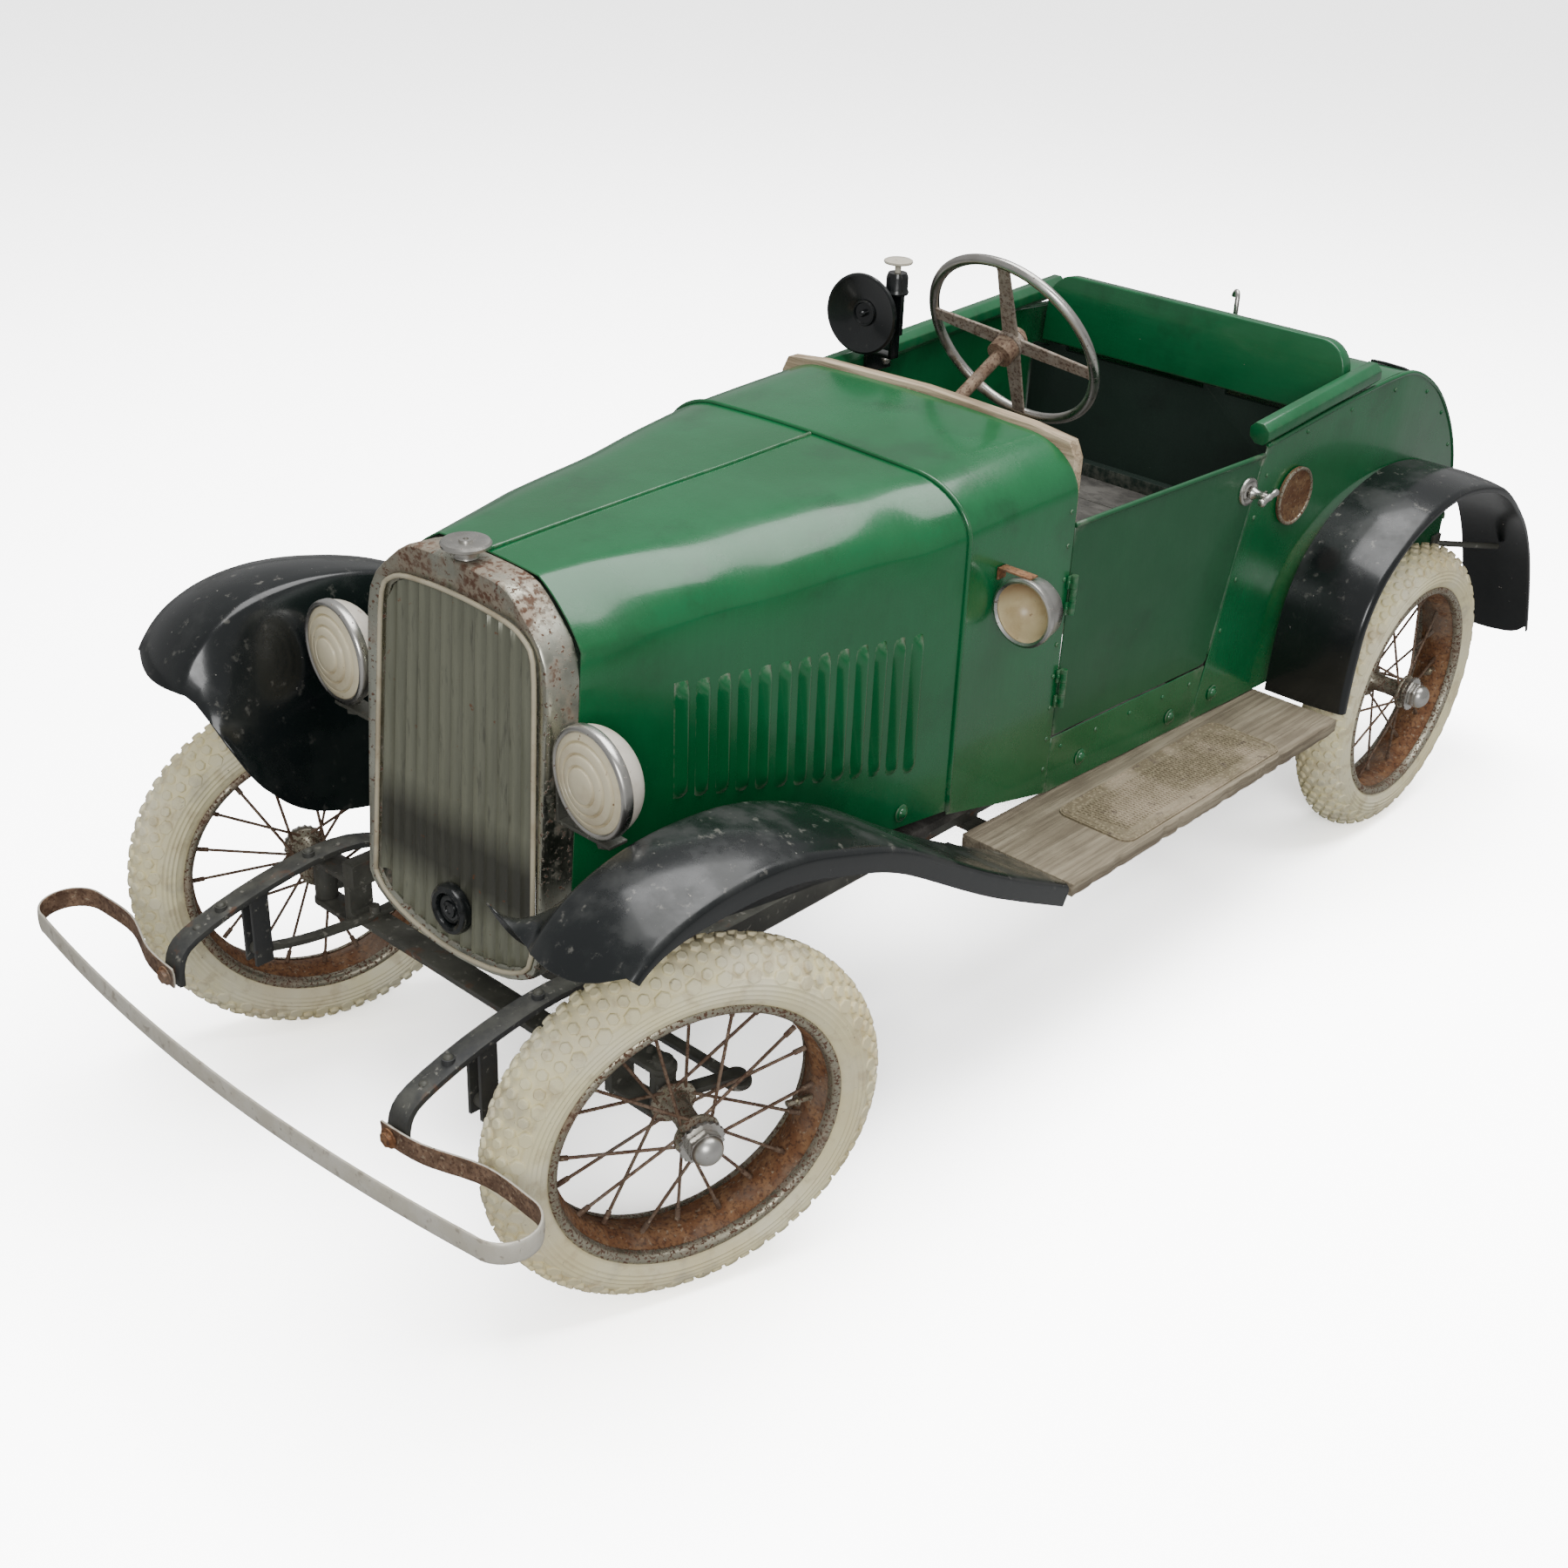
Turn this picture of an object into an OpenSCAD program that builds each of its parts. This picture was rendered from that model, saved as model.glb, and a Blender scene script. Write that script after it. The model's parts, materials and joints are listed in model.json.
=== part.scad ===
// Child's pedal car in the style of a 1920s open tourer, built as separate pieces.
// +Z is up, the car faces -Y and its left side is +X.
// Stations along the car (the *_y values) are measured from midway between the axles;
// the whole car is then shifted so that the origin is under the middle of its outline.

/* [Car] */
// Distance between front and rear axles
wheelbase = 1055; // [900:1:1200]
// Half the distance between the tyres' middles
half_track = 248; // [230:1:270]
// Half width of the body at the dash
dash_half_w = 177; // [150:1:185]
// Half width of the body over the rear wheels
tail_half_w = 203; // [188:1:206]
// Half width over the fenders and running boards
outer_half_w = 290; // [280:1:300]
// Height of the running board's top
board_z = 200; // [180:1:220]
// Height of the seat
seat_z = 328; // [290:1:340]

/* [Wheels] */
// Outer radius of the tyre
tyre_r = 159; // [140:1:170]
// Radius of the tyre's round section
tyre_tube_r = 28.8; // [24:0.1:32]
// Radius of the rim's outer edge
rim_r = 116; // [100:1:120]
// Half width of the rim
rim_half_w = 21; // [16:1:24]
// Spokes in a wheel
spoke_count = 20; // [12:2:24]
// Outward lean of the front wheels, in degrees
camber = 4; // [0:0.5:6]
// Radius of the wheel spindles
spindle_r = 6; // [5:0.5:8]
// Radial running clearance of spindles and pins
run_fit = 0.06; // [0.03:0.01:0.1]

/* [Steering] */
// Turn of the front wheels as stored, to the car's right, in degrees
steer_turn = 19.5; // [0:0.5:22]
// Distance of the kingpins from the middle of the car
kingpin_x = 209; // [200:1:215]
// Radius of the steering wheel's rim, outside
hand_wheel_r = 95; // [80:1:105]
// Slope of the steering column, in degrees
column_slope = 27; // [22:1:30]
// Length of the steering arms on the stub axles
steer_arm = 62; // [55:1:66]

/* [Body] */
// Height of the bonnet's top at the radiator
nose_z = 521; // [500:1:530]
// Height of the scuttle's top at the dash
dash_z = 536; // [520:1:550]
// Half width of the bonnet at the radiator
nose_half_w = 104; // [95:1:112]
// Thickness of the sheet metal
sheet = 1.6; // [1.2:0.1:2.5]
// Louvres on each side of the bonnet
louvre_count = 13; // [8:1:14]

/* [Fenders] */
// Sag of the left front fender, in degrees
fender_sag = 3.5; // [0:0.5:4]
// Rise of the right front fender, in degrees
fender_rise = 4; // [0:0.5:5]

/* [Hidden] */
$fn = 48;
front_y = -wheelbase / 2;
rear_y = wheelbase / 2;
grille_y = -556;
nose_y = -528;
cowl_y = -152;
dash_y = -8;
door_rear_y = 283;
quarter_y = 532;
tail_y = 706;
body_low_z = 205;
bonnet_low_z = 236;
bumper_y = -778;
fender_end_y = 803;
mid_y = (bumper_y + fender_end_y) / 2;
wheel_z = (tyre_r - tyre_tube_r) * cos(camber) + tyre_tube_r;
rear_z = tyre_r;
kingpin_out = half_track - kingpin_x;
kingpin_r = 5;
rail_x = 140;
rail_w = 14;
rail_z = 190;
rail_h = 22;
iron_x = 140;
throw_x = 60;
throw_r = 34;
hand_y = 124;
hand_z = 558;
column_len = 715;
column_r = 6;
drop_arm = 98.2;
rod_z = 146;

// ---- shared geometry -------------------------------------------------------

// Straight-line value of a table of [station, value] rows
function table_at(rows, s) = lookup(s, rows);

// Half width of the body at a station along the car
body_plan = [
  [nose_y, nose_half_w], [cowl_y, dash_half_w - 4], [dash_y, dash_half_w],
  [door_rear_y, dash_half_w + 15], [quarter_y, tail_half_w], [tail_y, tail_half_w - 6]
];
function body_x(y) = table_at(body_plan, y);
function body_slope(y) = atan2(body_x(y + 5) - body_x(y - 5), 10);

// Smooth curve through a list of points: four steps of a Catmull-Rom spline per span
function spline(p, steps = 4) = [
  for (i = [0 : len(p) - 2]) for (k = [0 : steps - 1])
    let (a = p[max(i - 1, 0)], b = p[i], c = p[i + 1], d = p[min(i + 2, len(p) - 1)], t = k / steps)
      0.5 * (2 * b + (c - a) * t + (2 * a - 5 * b + 4 * c - d) * t * t
        + (3 * b - a - 3 * c + d) * t * t * t),
  p[len(p) - 1]
];

// Unit normal of a plane path at point i, to the left of its direction
function path_normal(p, i) =
  let (a = p[max(i - 1, 0)], b = p[min(i + 1, len(p) - 1)], d = b - a) [-d.y, d.x] / norm(d);

// Closed outline of a band of thickness t on the left of a plane path
function band(p, t) = concat(
  p,
  [for (i = [len(p) - 1 : -1 : 0]) p[i] + t * path_normal(p, i)]
);

// A strip whose edge view in the Y-Z plane is a closed outline, from x0 to x1
module side_extrude(outline, x0, x1) {
  translate([x0, 0, 0])
    rotate([90, 0, 90])
      linear_extrude(x1 - x0)
        polygon(outline);
}

// Solid through rings of points; each ring runs along the outside and back along the inside
module loft(rings) {
  n = len(rings[0]);
  m = len(rings);
  points = [for (r = rings) each r];
  walls = [
    for (j = [0 : m - 2]) for (i = [0 : n - 1])
      let (a = j * n + i, b = j * n + (i + 1) % n) each [[a, b, b + n], [a, b + n, a + n]]
  ];
  first = [for (i = [0 : n / 2 - 2]) each [[i, n - 1 - i, n - 2 - i], [i, n - 2 - i, i + 1]]];
  last = [for (f = first) [f[0], f[2], f[1]] + [1, 1, 1] * (m - 1) * n];
  faces = concat(walls, first, last);
  volume = sum_of([for (f = faces) cross(points[f[0]], points[f[1]]) * points[f[2]]]);
  polyhedron(points, volume > 0 ? [for (f = faces) [f[0], f[2], f[1]]] : faces, convexity = 8);
}
function sum_of(v) = v * [for (i = v) 1];

module both_sides() {
  children();
  mirror([1, 0, 0]) children();
}

// Round bar between two points
module bar(a, b, r) {
  d = b - a;
  translate(a)
    rotate([0, acos(d.z / norm(d)), atan2(d.y, d.x)])
      cylinder(h = norm(d), r = r);
}

// Box from one corner to the other
module block(a, b) {
  translate(a) cube(b - a);
}

// Pieces inside are drawn about the rest position of the left or right front wheel
module at_kingpin(side) {
  translate([side * kingpin_x, front_y, 0])
    rotate([0, 0, -steer_turn])
      children();
}

// Pieces inside are drawn with X along the spindle, outwards, from the wheel's middle
module at_front_wheel(side) {
  at_kingpin(side)
    translate([side * kingpin_out, 0, wheel_z])
      rotate([0, side * camber, 0])
        scale_side(side)
          children();
}
module at_rear_wheel(side) {
  translate([side * half_track, rear_y, rear_z])
    scale_side(side)
      children();
}
module scale_side(side) {
  mirror([side < 0 ? 1 : 0, 0, 0]) children();
}

// ---- body ------------------------------------------------------------------

// Cross-section of the bonnet and scuttle: up one side, over the top and down the other.
// The corner runs from a straight chamfer, round_off 0, to a quarter ellipse, round_off 1
crown = 7;
function body_section(y, w, top, low, corner_w, corner_h, round_off, inset) =
  let (
    shoulder = top - inset - crown * pow((w - corner_w) / w, 2),
    cw = corner_w - inset,
    ch = corner_h - inset,
    half = concat(
      [[w - inset, low]],
      [for (t = [0 : 1 / 6 : 1.01])
        let (across = t + round_off * (1 - cos(90 * t) - t), up = t + round_off * (sin(90 * t) - t))
          [w - inset - cw * across, shoulder - ch * (1 - up)]],
      [for (k = [1 : 3]) let (x = (w - corner_w) * (1 - k / 3.5)) [x, top - inset - crown * pow(x / w, 2)]]
    )
  )
  concat(
    [for (p = half) [p.x, y, p.y]],
    [for (i = [len(half) - 1 : -1 : 0]) [-half[i].x, y, half[i].y]]
  );
function shell_ring(y, w, top, low, corner_w, corner_h, round_off) = concat(
  body_section(y, w, top, low, corner_w, corner_h, round_off, 0),
  reverse(body_section(y, w, top, low, corner_w, corner_h, round_off, sheet))
);
function leaned(ring) = [for (p = ring) [p.x, p.y + (p.z - 228) * tan(3.7), p.z]];
function reverse(v) = [for (i = [len(v) - 1 : -1 : 0]) v[i]];

module bonnet() {
  color("seagreen")
    loft([
      leaned(shell_ring(nose_y + 2.6, nose_half_w, nose_z, bonnet_low_z, 46, 40, 0.15)),
      shell_ring(-400, table_at(body_plan, -400), nose_z + 4, bonnet_low_z, 52, 43, 0.55),
      shell_ring(-280, table_at(body_plan, -280), nose_z + 7, bonnet_low_z, 58, 45, 0.85),
      shell_ring(cowl_y, dash_half_w - 4, 531, bonnet_low_z, 64, 46, 1)
    ]);
}

module scuttle() {
  color("seagreen")
    loft([
      shell_ring(cowl_y + 0.3, dash_half_w - 4, 531, 232, 64, 46, 1),
      shell_ring(-80, dash_half_w - 2, 534, 218, 64, 46, 1),
      shell_ring(dash_y, dash_half_w, dash_z, body_low_z, 62, 46, 1)
    ]);
}

// Raised seams: the hinge along the bonnet's crown and the bead round the scuttle's front
module body_beads() {
  bead_w = 5;
  bead = [
    for (y = [cowl_y - bead_w / 2, cowl_y + bead_w / 2])
      concat(
        body_section(y, dash_half_w - 4 + 1.4, 532.4, 240, 64, 46, 1, 0),
        reverse(body_section(y, dash_half_w - 4, 531, 240, 64, 46, 1, -0.15))
      )
  ];
  color("seagreen") {
    loft(bead);
    side_extrude(
      [[-506, nose_z + 0.1], [-400, nose_z + 4.1], [cowl_y - 3, 531.1],
       [cowl_y - 3, 532.4], [-400, nose_z + 5.4], [-506, nose_z + 1.4]],
      -2, 2
    );
  }
}

module louvres() {
  louvre_y0 = -427;
  pitch = 227 / (louvre_count - 1);
  color("seagreen")
    both_sides()
      for (i = [0 : louvre_count - 1]) {
        y = louvre_y0 + pitch * i;
        low = 333 - 47 * i / (louvre_count - 1);
        top = 432 - 16 * i / (louvre_count - 1);
        translate([body_x(y) + 0.1, y, 0])
          rotate([0, 0, -body_slope(y)])
            intersection() {
              block([0, -20, low], [8, 20, top]);
              translate([-1.4, 0, low])
                cylinder(h = top - low, r = 5);
            }
      }
}

// Vertical wall that follows the body's plan between two stations
module body_wall(y0, y1, z0, z1, t = sheet) {
  stations = [for (r = body_plan) if (r[0] > y0 && r[0] < y1) r[0]];
  path = [for (y = concat([y0], stations, [y1])) [body_x(y), y]];
  translate([0, 0, z0])
    linear_extrude(z1 - z0)
      polygon(band(path, t));
}

// Upper edge of the rear body, rising behind the door and falling round the tail
tail_edge = spline([
  [door_rear_y, 470], [400, 484], [500, 493], [552, 490], [612, 462],
  [657, 423], [689, 380], [704, 340], [tail_y, 290]
]);

high_edge = [for (p = tail_edge) if (p.x > 470) p];

module sill_left() {
  color("darkgreen")
    body_wall(dash_y + 0.5, 218, body_low_z, 257);
}

module rear_quarter_left() {
  color("darkgreen")
    intersection() {
      body_wall(212, tail_y, body_low_z, 520);
      side_extrude(
        concat(tail_edge, [[tail_y, 215], [560, body_low_z], [219, body_low_z], [219, 257], [231, 258]]),
        150, 230
      );
    }
}

module side_panel_right() {
  color("darkgreen")
    mirror([1, 0, 0])
      intersection() {
        body_wall(dash_y + 0.5, tail_y, body_low_z, 520);
        side_extrude(
          concat([[dash_y, 489], [45, 490], [375, 500]], high_edge, [[tail_y, 215], [560, body_low_z], [dash_y, body_low_z]]),
          150, 230
        );
      }
}

// Deck that wraps from behind the seat down round the tail
module tail_skin() {
  deck = [for (p = tail_edge) if (p.x > 452 && p.y > 330) p];
  color("darkgreen")
    side_extrude(band(deck, -sheet), -195, 195);
}

// Octagonal bar along the top of a body side; its end faces are square to it
module coaming_rail(y0, z0, y1, z1) {
  x0 = body_x(y0) - 7;
  x1 = body_x(y1) - 7;
  slope = atan2(z1 - z0, y1 - y0);
  translate([x0, y0, z0])
    rotate([0, 0, -atan2(x1 - x0, y1 - y0)])
      rotate([slope - 90, 0, 0])
        rotate([0, 0, 22.5])
          cylinder(h = norm([x1 - x0, y1 - y0, z1 - z0]), r = 11.8, $fn = 8);
}

module coaming_rails() {
  color("mediumseagreen") {
    coaming_rail(275, 482, 470, 505);
    mirror([1, 0, 0]) coaming_rail(30, 502, 470, 513);
  }
}

module radiator_outline(w_top, w_low, top_edge, low_edge, dip, rise, cut) {
  polygon(concat(
    [[-w_low, low_edge]],
    [for (a = [150 : -20 : 30]) [w_low * 0.98 * cos(a), low_edge - dip * sin(a)]],
    [[w_low, low_edge], [w_top, top_edge]],
    [for (k = [1 : 7]) let (x = w_top - cut - (2 * (w_top - cut)) * (k - 1) / 6)
      [x, top_edge + rise - 8 * pow(x / w_top, 2)]],
    [[-w_top, top_edge]]
  ));
}

// Tilts the radiator's upright pieces back and puts them at the nose
module at_radiator() {
  translate([0, grille_y, 228])
    rotate([-3.7, 0, 0])
      translate([0, 0, -228])
        rotate([90, 0, 0])
          mirror([0, 0, 1])
            children();
}

module radiator_shell() {
  color("silver")
    at_radiator()
      difference() {
        linear_extrude(30)
          radiator_outline(nose_half_w, nose_half_w, 478, 226, 34, 44, 46);
        translate([0, 0, -1])
          linear_extrude(40)
            radiator_outline(84, 93, 476, 230, 30, 17, 20);
      }
}

module grille_bead() {
  color("cornsilk")
    at_radiator()
      translate([0, 0, -2.5])
        difference() {
          linear_extrude(2.4)
            radiator_outline(88, 96, 480, 229, 34, 18, 20);
          translate([0, 0, -1])
            linear_extrude(5)
              radiator_outline(83, 91, 476, 230, 29, 16, 20);
        }
}

module radiator_grille() {
  flute_pitch = 14;
  color("dimgray")
    at_radiator() {
      translate([0, 0, 5])
        difference() {
          linear_extrude(3)
            radiator_outline(83.5, 92.5, 475.5, 230, 29.5, 16.5, 20);
          for (k = [-6 : 6])
            translate([k * flute_pitch, 360, -8.6])
              rotate([90, 0, 0])
                cylinder(h = 400, r = 10, center = true);
        }
      translate([0, 234, 3])
        rotate_extrude()
          translate([17, 0])
            circle(r = 4);
    }
}

module radiator_cap() {
  color("silver")
    translate([0, -526, 0]) {
      translate([0, 0, 521.6])
        cylinder(h = 9, r = 9);
      translate([0, 0, 530])
        cylinder(h = 4, r = 19);
      translate([0, 0, 534])
        cylinder(h = 1.5, r = 5);
    }
}

// ---- wooden pieces and interior ---------------------------------------------

module dash_board() {
  color("tan")
    difference() {
      translate([0, dash_y + 1, 0])
        rotate([90, 0, 0])
          mirror([0, 0, 1])
            linear_extrude(13)
              polygon([[-168, 400], [168, 400], [168, 518], [161, 532], [120, 537],
                       [0, 541], [-120, 537], [-161, 532], [-168, 518]]);
      translate([0, hand_y, hand_z])
        rotate([90 + column_slope, 0, 0])
          cylinder(h = 400, r = column_r + 1.5);
    }
}

module floor_boards() {
  color("saddlebrown")
    both_sides()
      block([86, -185, rail_z + rail_h], [162, 432, rail_z + rail_h + 9]);
}

seat_rear_y = 423;

module seat_board() {
  color("dimgray") {
    block([-184, 236, seat_z - 12], [184, seat_rear_y, seat_z]);
    block([-184, 236, 244], [184, 250, seat_z - 12]);
    both_sides() block([100, 236, rail_z + rail_h + 9], [184, 250, 244]);
  }
}

module seat_bulkhead() {
  color("darkgreen") {
    block([-194, 435, rail_z + rail_h], [194, 441, 455]);
    block([26, 435, 455], [52, 441, 460.5]);
    both_sides() block([150, 435, 455], [172, 441, 460.5]);
    block([-182, seat_rear_y + 0.5, seat_z - 12], [182, 435.5, seat_z + 14]);
  }
}

module seat_back_board() {
  thick = 16;
  color("seagreen")
    translate([0, 430, 462])
      rotate([-6, 0, 0])
        difference() {
          block([-180, 0, 0], [180, thick, 74]);
          for (s = [-1, 1])
            translate([s * 180, -1, 74])
              rotate([-90, 0, 0])
                difference() {
                  cube([60, 60, 60], center = true);
                  translate([-s * 30, 30, -31])
                    cylinder(h = 62, r = 30);
                }
        }
}

// ---- lamps and horn ---------------------------------------------------------

lamp_x = 147.8;
lamp_y = -545;
lamp_z = 400;
lamp_r = 43;

module at_headlamps() {
  for (side = [-1, 1])
    translate([side * lamp_x, lamp_y, lamp_z])
      rotate([90, 0, -5])
        children();
}

module headlamps() {
  color("silver")
    at_headlamps()
      rotate_extrude()
        polygon([[lamp_r, -1], [lamp_r, -7], [lamp_r - 4, -9], [35, -26], [22, -40], [0, -45],
                 [0, -42], [20, -37], [33, -24], [lamp_r - 6, -8], [lamp_r - 4, -1]]);
}

module headlamp_lenses() {
  color("blanchedalmond")
    at_headlamps() {
      rotate_extrude()
        polygon([[0, -8], [lamp_r - 7, -7.5], [lamp_r - 4.5, 0], [30, 3], [29, 2], [22, 5],
                 [21, 4], [13, 6.5], [12, 5.5], [0, 8]]);
    }
}

module lamp_brackets() {
  strap_z = lamp_z - lamp_r - 9;
  color("dimgray")
    both_sides() {
      block([nose_half_w + 0.3, lamp_y + 8, strap_z], [nose_half_w + 3, lamp_y + 26, strap_z + 36]);
      block([nose_half_w + 3, lamp_y + 8, strap_z], [lamp_x + 14, lamp_y + 26, strap_z + 3]);
      translate([lamp_x, lamp_y + 17, strap_z + 3])
        cylinder(h = 9.5, r = 5);
    }
}

side_lamp_y = -116;
side_lamp_z = 421;
side_lamp_r = 30;

// Open cups that face forwards on the sides of the scuttle
module side_lamps() {
  x = body_x(side_lamp_y) + side_lamp_r + 1;
  color("lightgray")
    for (side = [-1, 1])
      scale_side(side)
        translate([x, side_lamp_y, side_lamp_z]) {
          rotate([90, 0, 0])
            rotate_extrude()
              polygon([[side_lamp_r, 0], [side_lamp_r, -6], [26, -26], [12, -36], [0, -38],
                       [0, -28], [10, -26], [22, -18], [side_lamp_r - 4, -4], [side_lamp_r - 4, 0]]);
          translate([-side_lamp_r - 0.6, 0.5, 20])
            cube([20, 3, 22]);
        }
}

module quarter_dish() {
  y = 341;
  color("sienna")
    translate([body_x(y) + 0.4, y, 408])
      rotate([0, 90, -body_slope(y)])
        rotate_extrude()
          polygon([[0, 0.6], [29, 0.6], [29, 4.5], [26, 4.5], [22, 2.6], [0, 2.6]]);
}

horn_x = -150;
horn_y = 83;
horn_z = 558;

module horn() {
  color("black")
    translate([horn_x, horn_y, horn_z]) {
      rotate([90, 0, 8])
        rotate_extrude()
          polygon([[38, 0], [39, -3], [34, -9], [26, -16], [24, -30], [0, -30], [0, -7],
                   [11, -7], [13, -4], [20, -3], [37, 2]]);
      difference() {
        block([10, 14, 20], [34, 34, 41]);
        translate([22, 24, 25])
          cylinder(h = 30, r = 3 + run_fit);
      }
      block([-2, 24, -20], [28, 30, 21]);
      block([16, 24, -45], [20, 36, 21]);
      block([-14, 24, -45], [20, 36, -41]);
      block([-14, 24, -66], [-10, 62, -41]);
      translate([-14.8, 54, -57])
        rotate([0, 90, 0])
          cylinder(h = 9, r = 5);
    }
}

module horn_button() {
  color("ivory")
    translate([horn_x + 22, horn_y + 24, horn_z + 31]) {
      cylinder(h = 20, r = 3);
      translate([0, 0, 18])
        cylinder(h = 4, r = 14);
    }
}

// ---- fenders and running boards ----------------------------------------------

fender_in = 205;
apron_in = 165;
front_arch = spline([
  [-124, 201], [-220, 258], [-290, 306], [-350, 350], [-400, 378], [-450, 398], [-500, 408],
  [-550, 410], [-595, 402], [-630, 384], [-652, 358], [-660, 335]
], 3);

module front_fender(side) {
  tilt = side > 0 ? fender_sag : -fender_rise;
  pivot = [0, -124, 200];
  apron_low = spline([[-150, 206], [-300, 214], [-440, 236], [-560, 262], [-612, 300], [-640, 345]], 3);
  color("black")
    translate(pivot)
      rotate([tilt, 0, 0])
        translate(-pivot)
          scale_side(side) {
            difference() {
              union() {
                side_extrude(band(front_arch, sheet), fender_in, outer_half_w);
                side_extrude(band(front_arch, 20), outer_half_w - sheet, outer_half_w);
              }
              linear_extrude(500)
                polygon([[226, -680], [226, -664], [262, -650], [282, -632], [291, -608], [310, -608], [310, -680]]);
            }
            loft([
              for (i = [0 : 15])
                let (
                  k = round(i * 31 / 15),
                  top = front_arch[k] + 0.8 * path_normal(front_arch, k),
                  low = apron_low[i],
                  x_low = max(body_x(max(low.x, nose_y)) + 3, apron_in),
                  x_top = max(fender_in, x_low + 2)
                )
                [[x_top + 1.5, top.x, top.y], [x_low + 1.5, low.x, low.y],
                 [x_low, low.x, low.y], [x_top, top.x, top.y]]
            ]);
          }
}
module front_fender_left() { front_fender(1); }
module front_fender_right() { front_fender(-1); }

rear_arch = spline([
  [334, 202], [337, 250], [348, 303], [380, 348], [440, 383], [528, 398],
  [628, 377], [700, 328], [742, 280], [775, 215], [fender_end_y, 141]
], 3);

module rear_fenders() {
  color("black")
    both_sides() {
      side_extrude(band(rear_arch, -sheet), 203.4, outer_half_w);
      side_extrude(band(rear_arch, -11), outer_half_w - sheet, outer_half_w);
    }
}

module fender_stays() {
  color("dimgray")
    both_sides() {
      bar([201, 690, 266], [250, 746, 262], 3.5);
      block([body_x(681) + 0.3, 681, 256], [202, 699, 276]);
    }
}

module running_boards() {
  color("gray")
    both_sides()
      translate([0, 0, board_z - 13])
        linear_extrude(13)
          polygon([[body_x(-122) + 1, -122], [outer_half_w, -122], [outer_half_w, 333],
                   [body_x(333) + 1, 333], [body_x(dash_y) + 1, dash_y]]);
}

module board_mats() {
  color("peru")
    both_sides()
      translate([204, -30, board_z])
        linear_extrude(2.6)
          offset(r = 12)
            translate([12, 12])
              square([56, 240]);
}

// ---- chassis, springs and bumper ----------------------------------------------

module chassis() {
  color("dimgray") {
    both_sides()
      block([rail_x - rail_w / 2, -552, rail_z], [rail_x + rail_w / 2, 690, rail_z + rail_h]);
    for (y = [-518, -330, 684])
      block([-rail_x + 7, y - 6, rail_z + 2], [rail_x - 7, y + 6, rail_z + 18]);
    both_sides() {
      for (y = [-80, 270]) {
        block([rail_x - 7, y - 12, rail_z - 6], [outer_half_w - 8, y + 12, rail_z - 3]);
        block([rail_x - 7, y - 12, rail_z - 3], [rail_x + 7, y + 12, rail_z]);
      }
      block([rail_x - 7, pedal_y - 8, rail_z + rail_h], [rail_x - 1, pedal_y + 8, pedal_top_z + 9]);
    }
    translate([-rail_x + 3, pedal_y, pedal_top_z])
      rotate([0, 90, 0])
        cylinder(h = 2 * rail_x - 6, r = 5);
  }
}

module dumb_irons() {
  iron = spline([[-470, 212], [-500, 214], [-545, 229], [-590, 231], [-650, 222], [-700, 207],
                 [-713.5, 194], [-715.5, 174]], 3);
  color("darkslategray")
    both_sides() {
      side_extrude(band(iron, -5), iron_x - 10, iron_x + 10);
      for (x = [iron_x - 8, iron_x + 5])
        block([x, -650, 160], [x + 3, -634, 226]);
      for (p = [[-482, 216], [-588, 235], [-672, 220]])
        translate([iron_x, p.x, p.y])
          cylinder(h = 5, r = 5);
    }
}

// Flat blade on edge: a shallow bow across the front with a loop back at each end
module bumper() {
  loop_r = 27;
  end_x = 268;
  half = concat(
    [for (k = [0 : 5]) let (x = end_x * k / 6) [x, bumper_y + 20 * pow(x / end_x, 2)]],
    [for (a = [-90 : 20 : 90]) [end_x + loop_r * cos(a), bumper_y + 20 + loop_r * (1 + sin(a))]],
    [[220, -704], [170, -720], [130, -723.6]]
  );
  path = concat([for (i = [len(half) - 1 : -1 : 1]) [-half[i].x, half[i].y]], half);
  color("antiquewhite") {
    translate([0, 0, 176])
      linear_extrude(18)
        polygon(band(path, 2.8));
    for (s = [-1, 1])
      translate([s * iron_x, -725, 184])
        rotate([90, 0, 0])
          cylinder(h = 5, r = 6);
  }
}

module front_axle() {
  fork_h = 46;
  z0 = wheel_z - fork_h / 2;
  color("dimgray") {
    block([-160, front_y - 12, z0 + 9], [160, front_y + 12, z0 + 15]);
    both_sides() {
      block([158, front_y - 12, z0], [166, front_y + 12, z0 + fork_h]);
      for (z = [z0, z0 + fork_h - 5]) {
        block([165, front_y - 11, z], [kingpin_x, front_y + 11, z + 5]);
        translate([kingpin_x, front_y, z])
          cylinder(h = 5, r = 11);
      }
    }
    both_sides() {
      translate([kingpin_x, front_y, z0 - 4])
        cylinder(h = fork_h + 8, r = kingpin_r);
      translate([kingpin_x, front_y, z0 + fork_h])
        cylinder(h = 5, r = 8);
    }
  }
}

module leaf_springs() {
  leaf = spline([[-400, 184], [-430, 168], [-480, 155], [front_y, 151], [-560, 153], [-600, 158],
                 [-642, 168]], 3);
  color("dimgray")
    both_sides() {
      side_extrude(band(leaf, -4.5), iron_x - 4.6, iron_x + 4.6);
      translate([iron_x, front_y, 152])
        cylinder(h = 10, r = 4.5);
      translate([iron_x - 4.6, -642, 171])
        rotate([0, 90, 0])
          cylinder(h = 9.2, r = 6);
      block([iron_x - 4.6, -406, 184], [iron_x + 4.6, -394, rail_z]);
    }
}

module axle_brackets() {
  color("dimgray")
    both_sides()
      difference() {
        union() {
          block([rail_x - 3, rear_y - 15, rear_z], [rail_x + 3, rear_y + 15, rail_z]);
          translate([rail_x - 8, rear_y, rear_z])
            rotate([0, 90, 0])
              cylinder(h = 16, r = 15);
        }
        translate([rail_x - 10, rear_y, rear_z])
          rotate([0, 90, 0])
            cylinder(h = 20, r = spindle_r + run_fit);
      }
}

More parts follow.
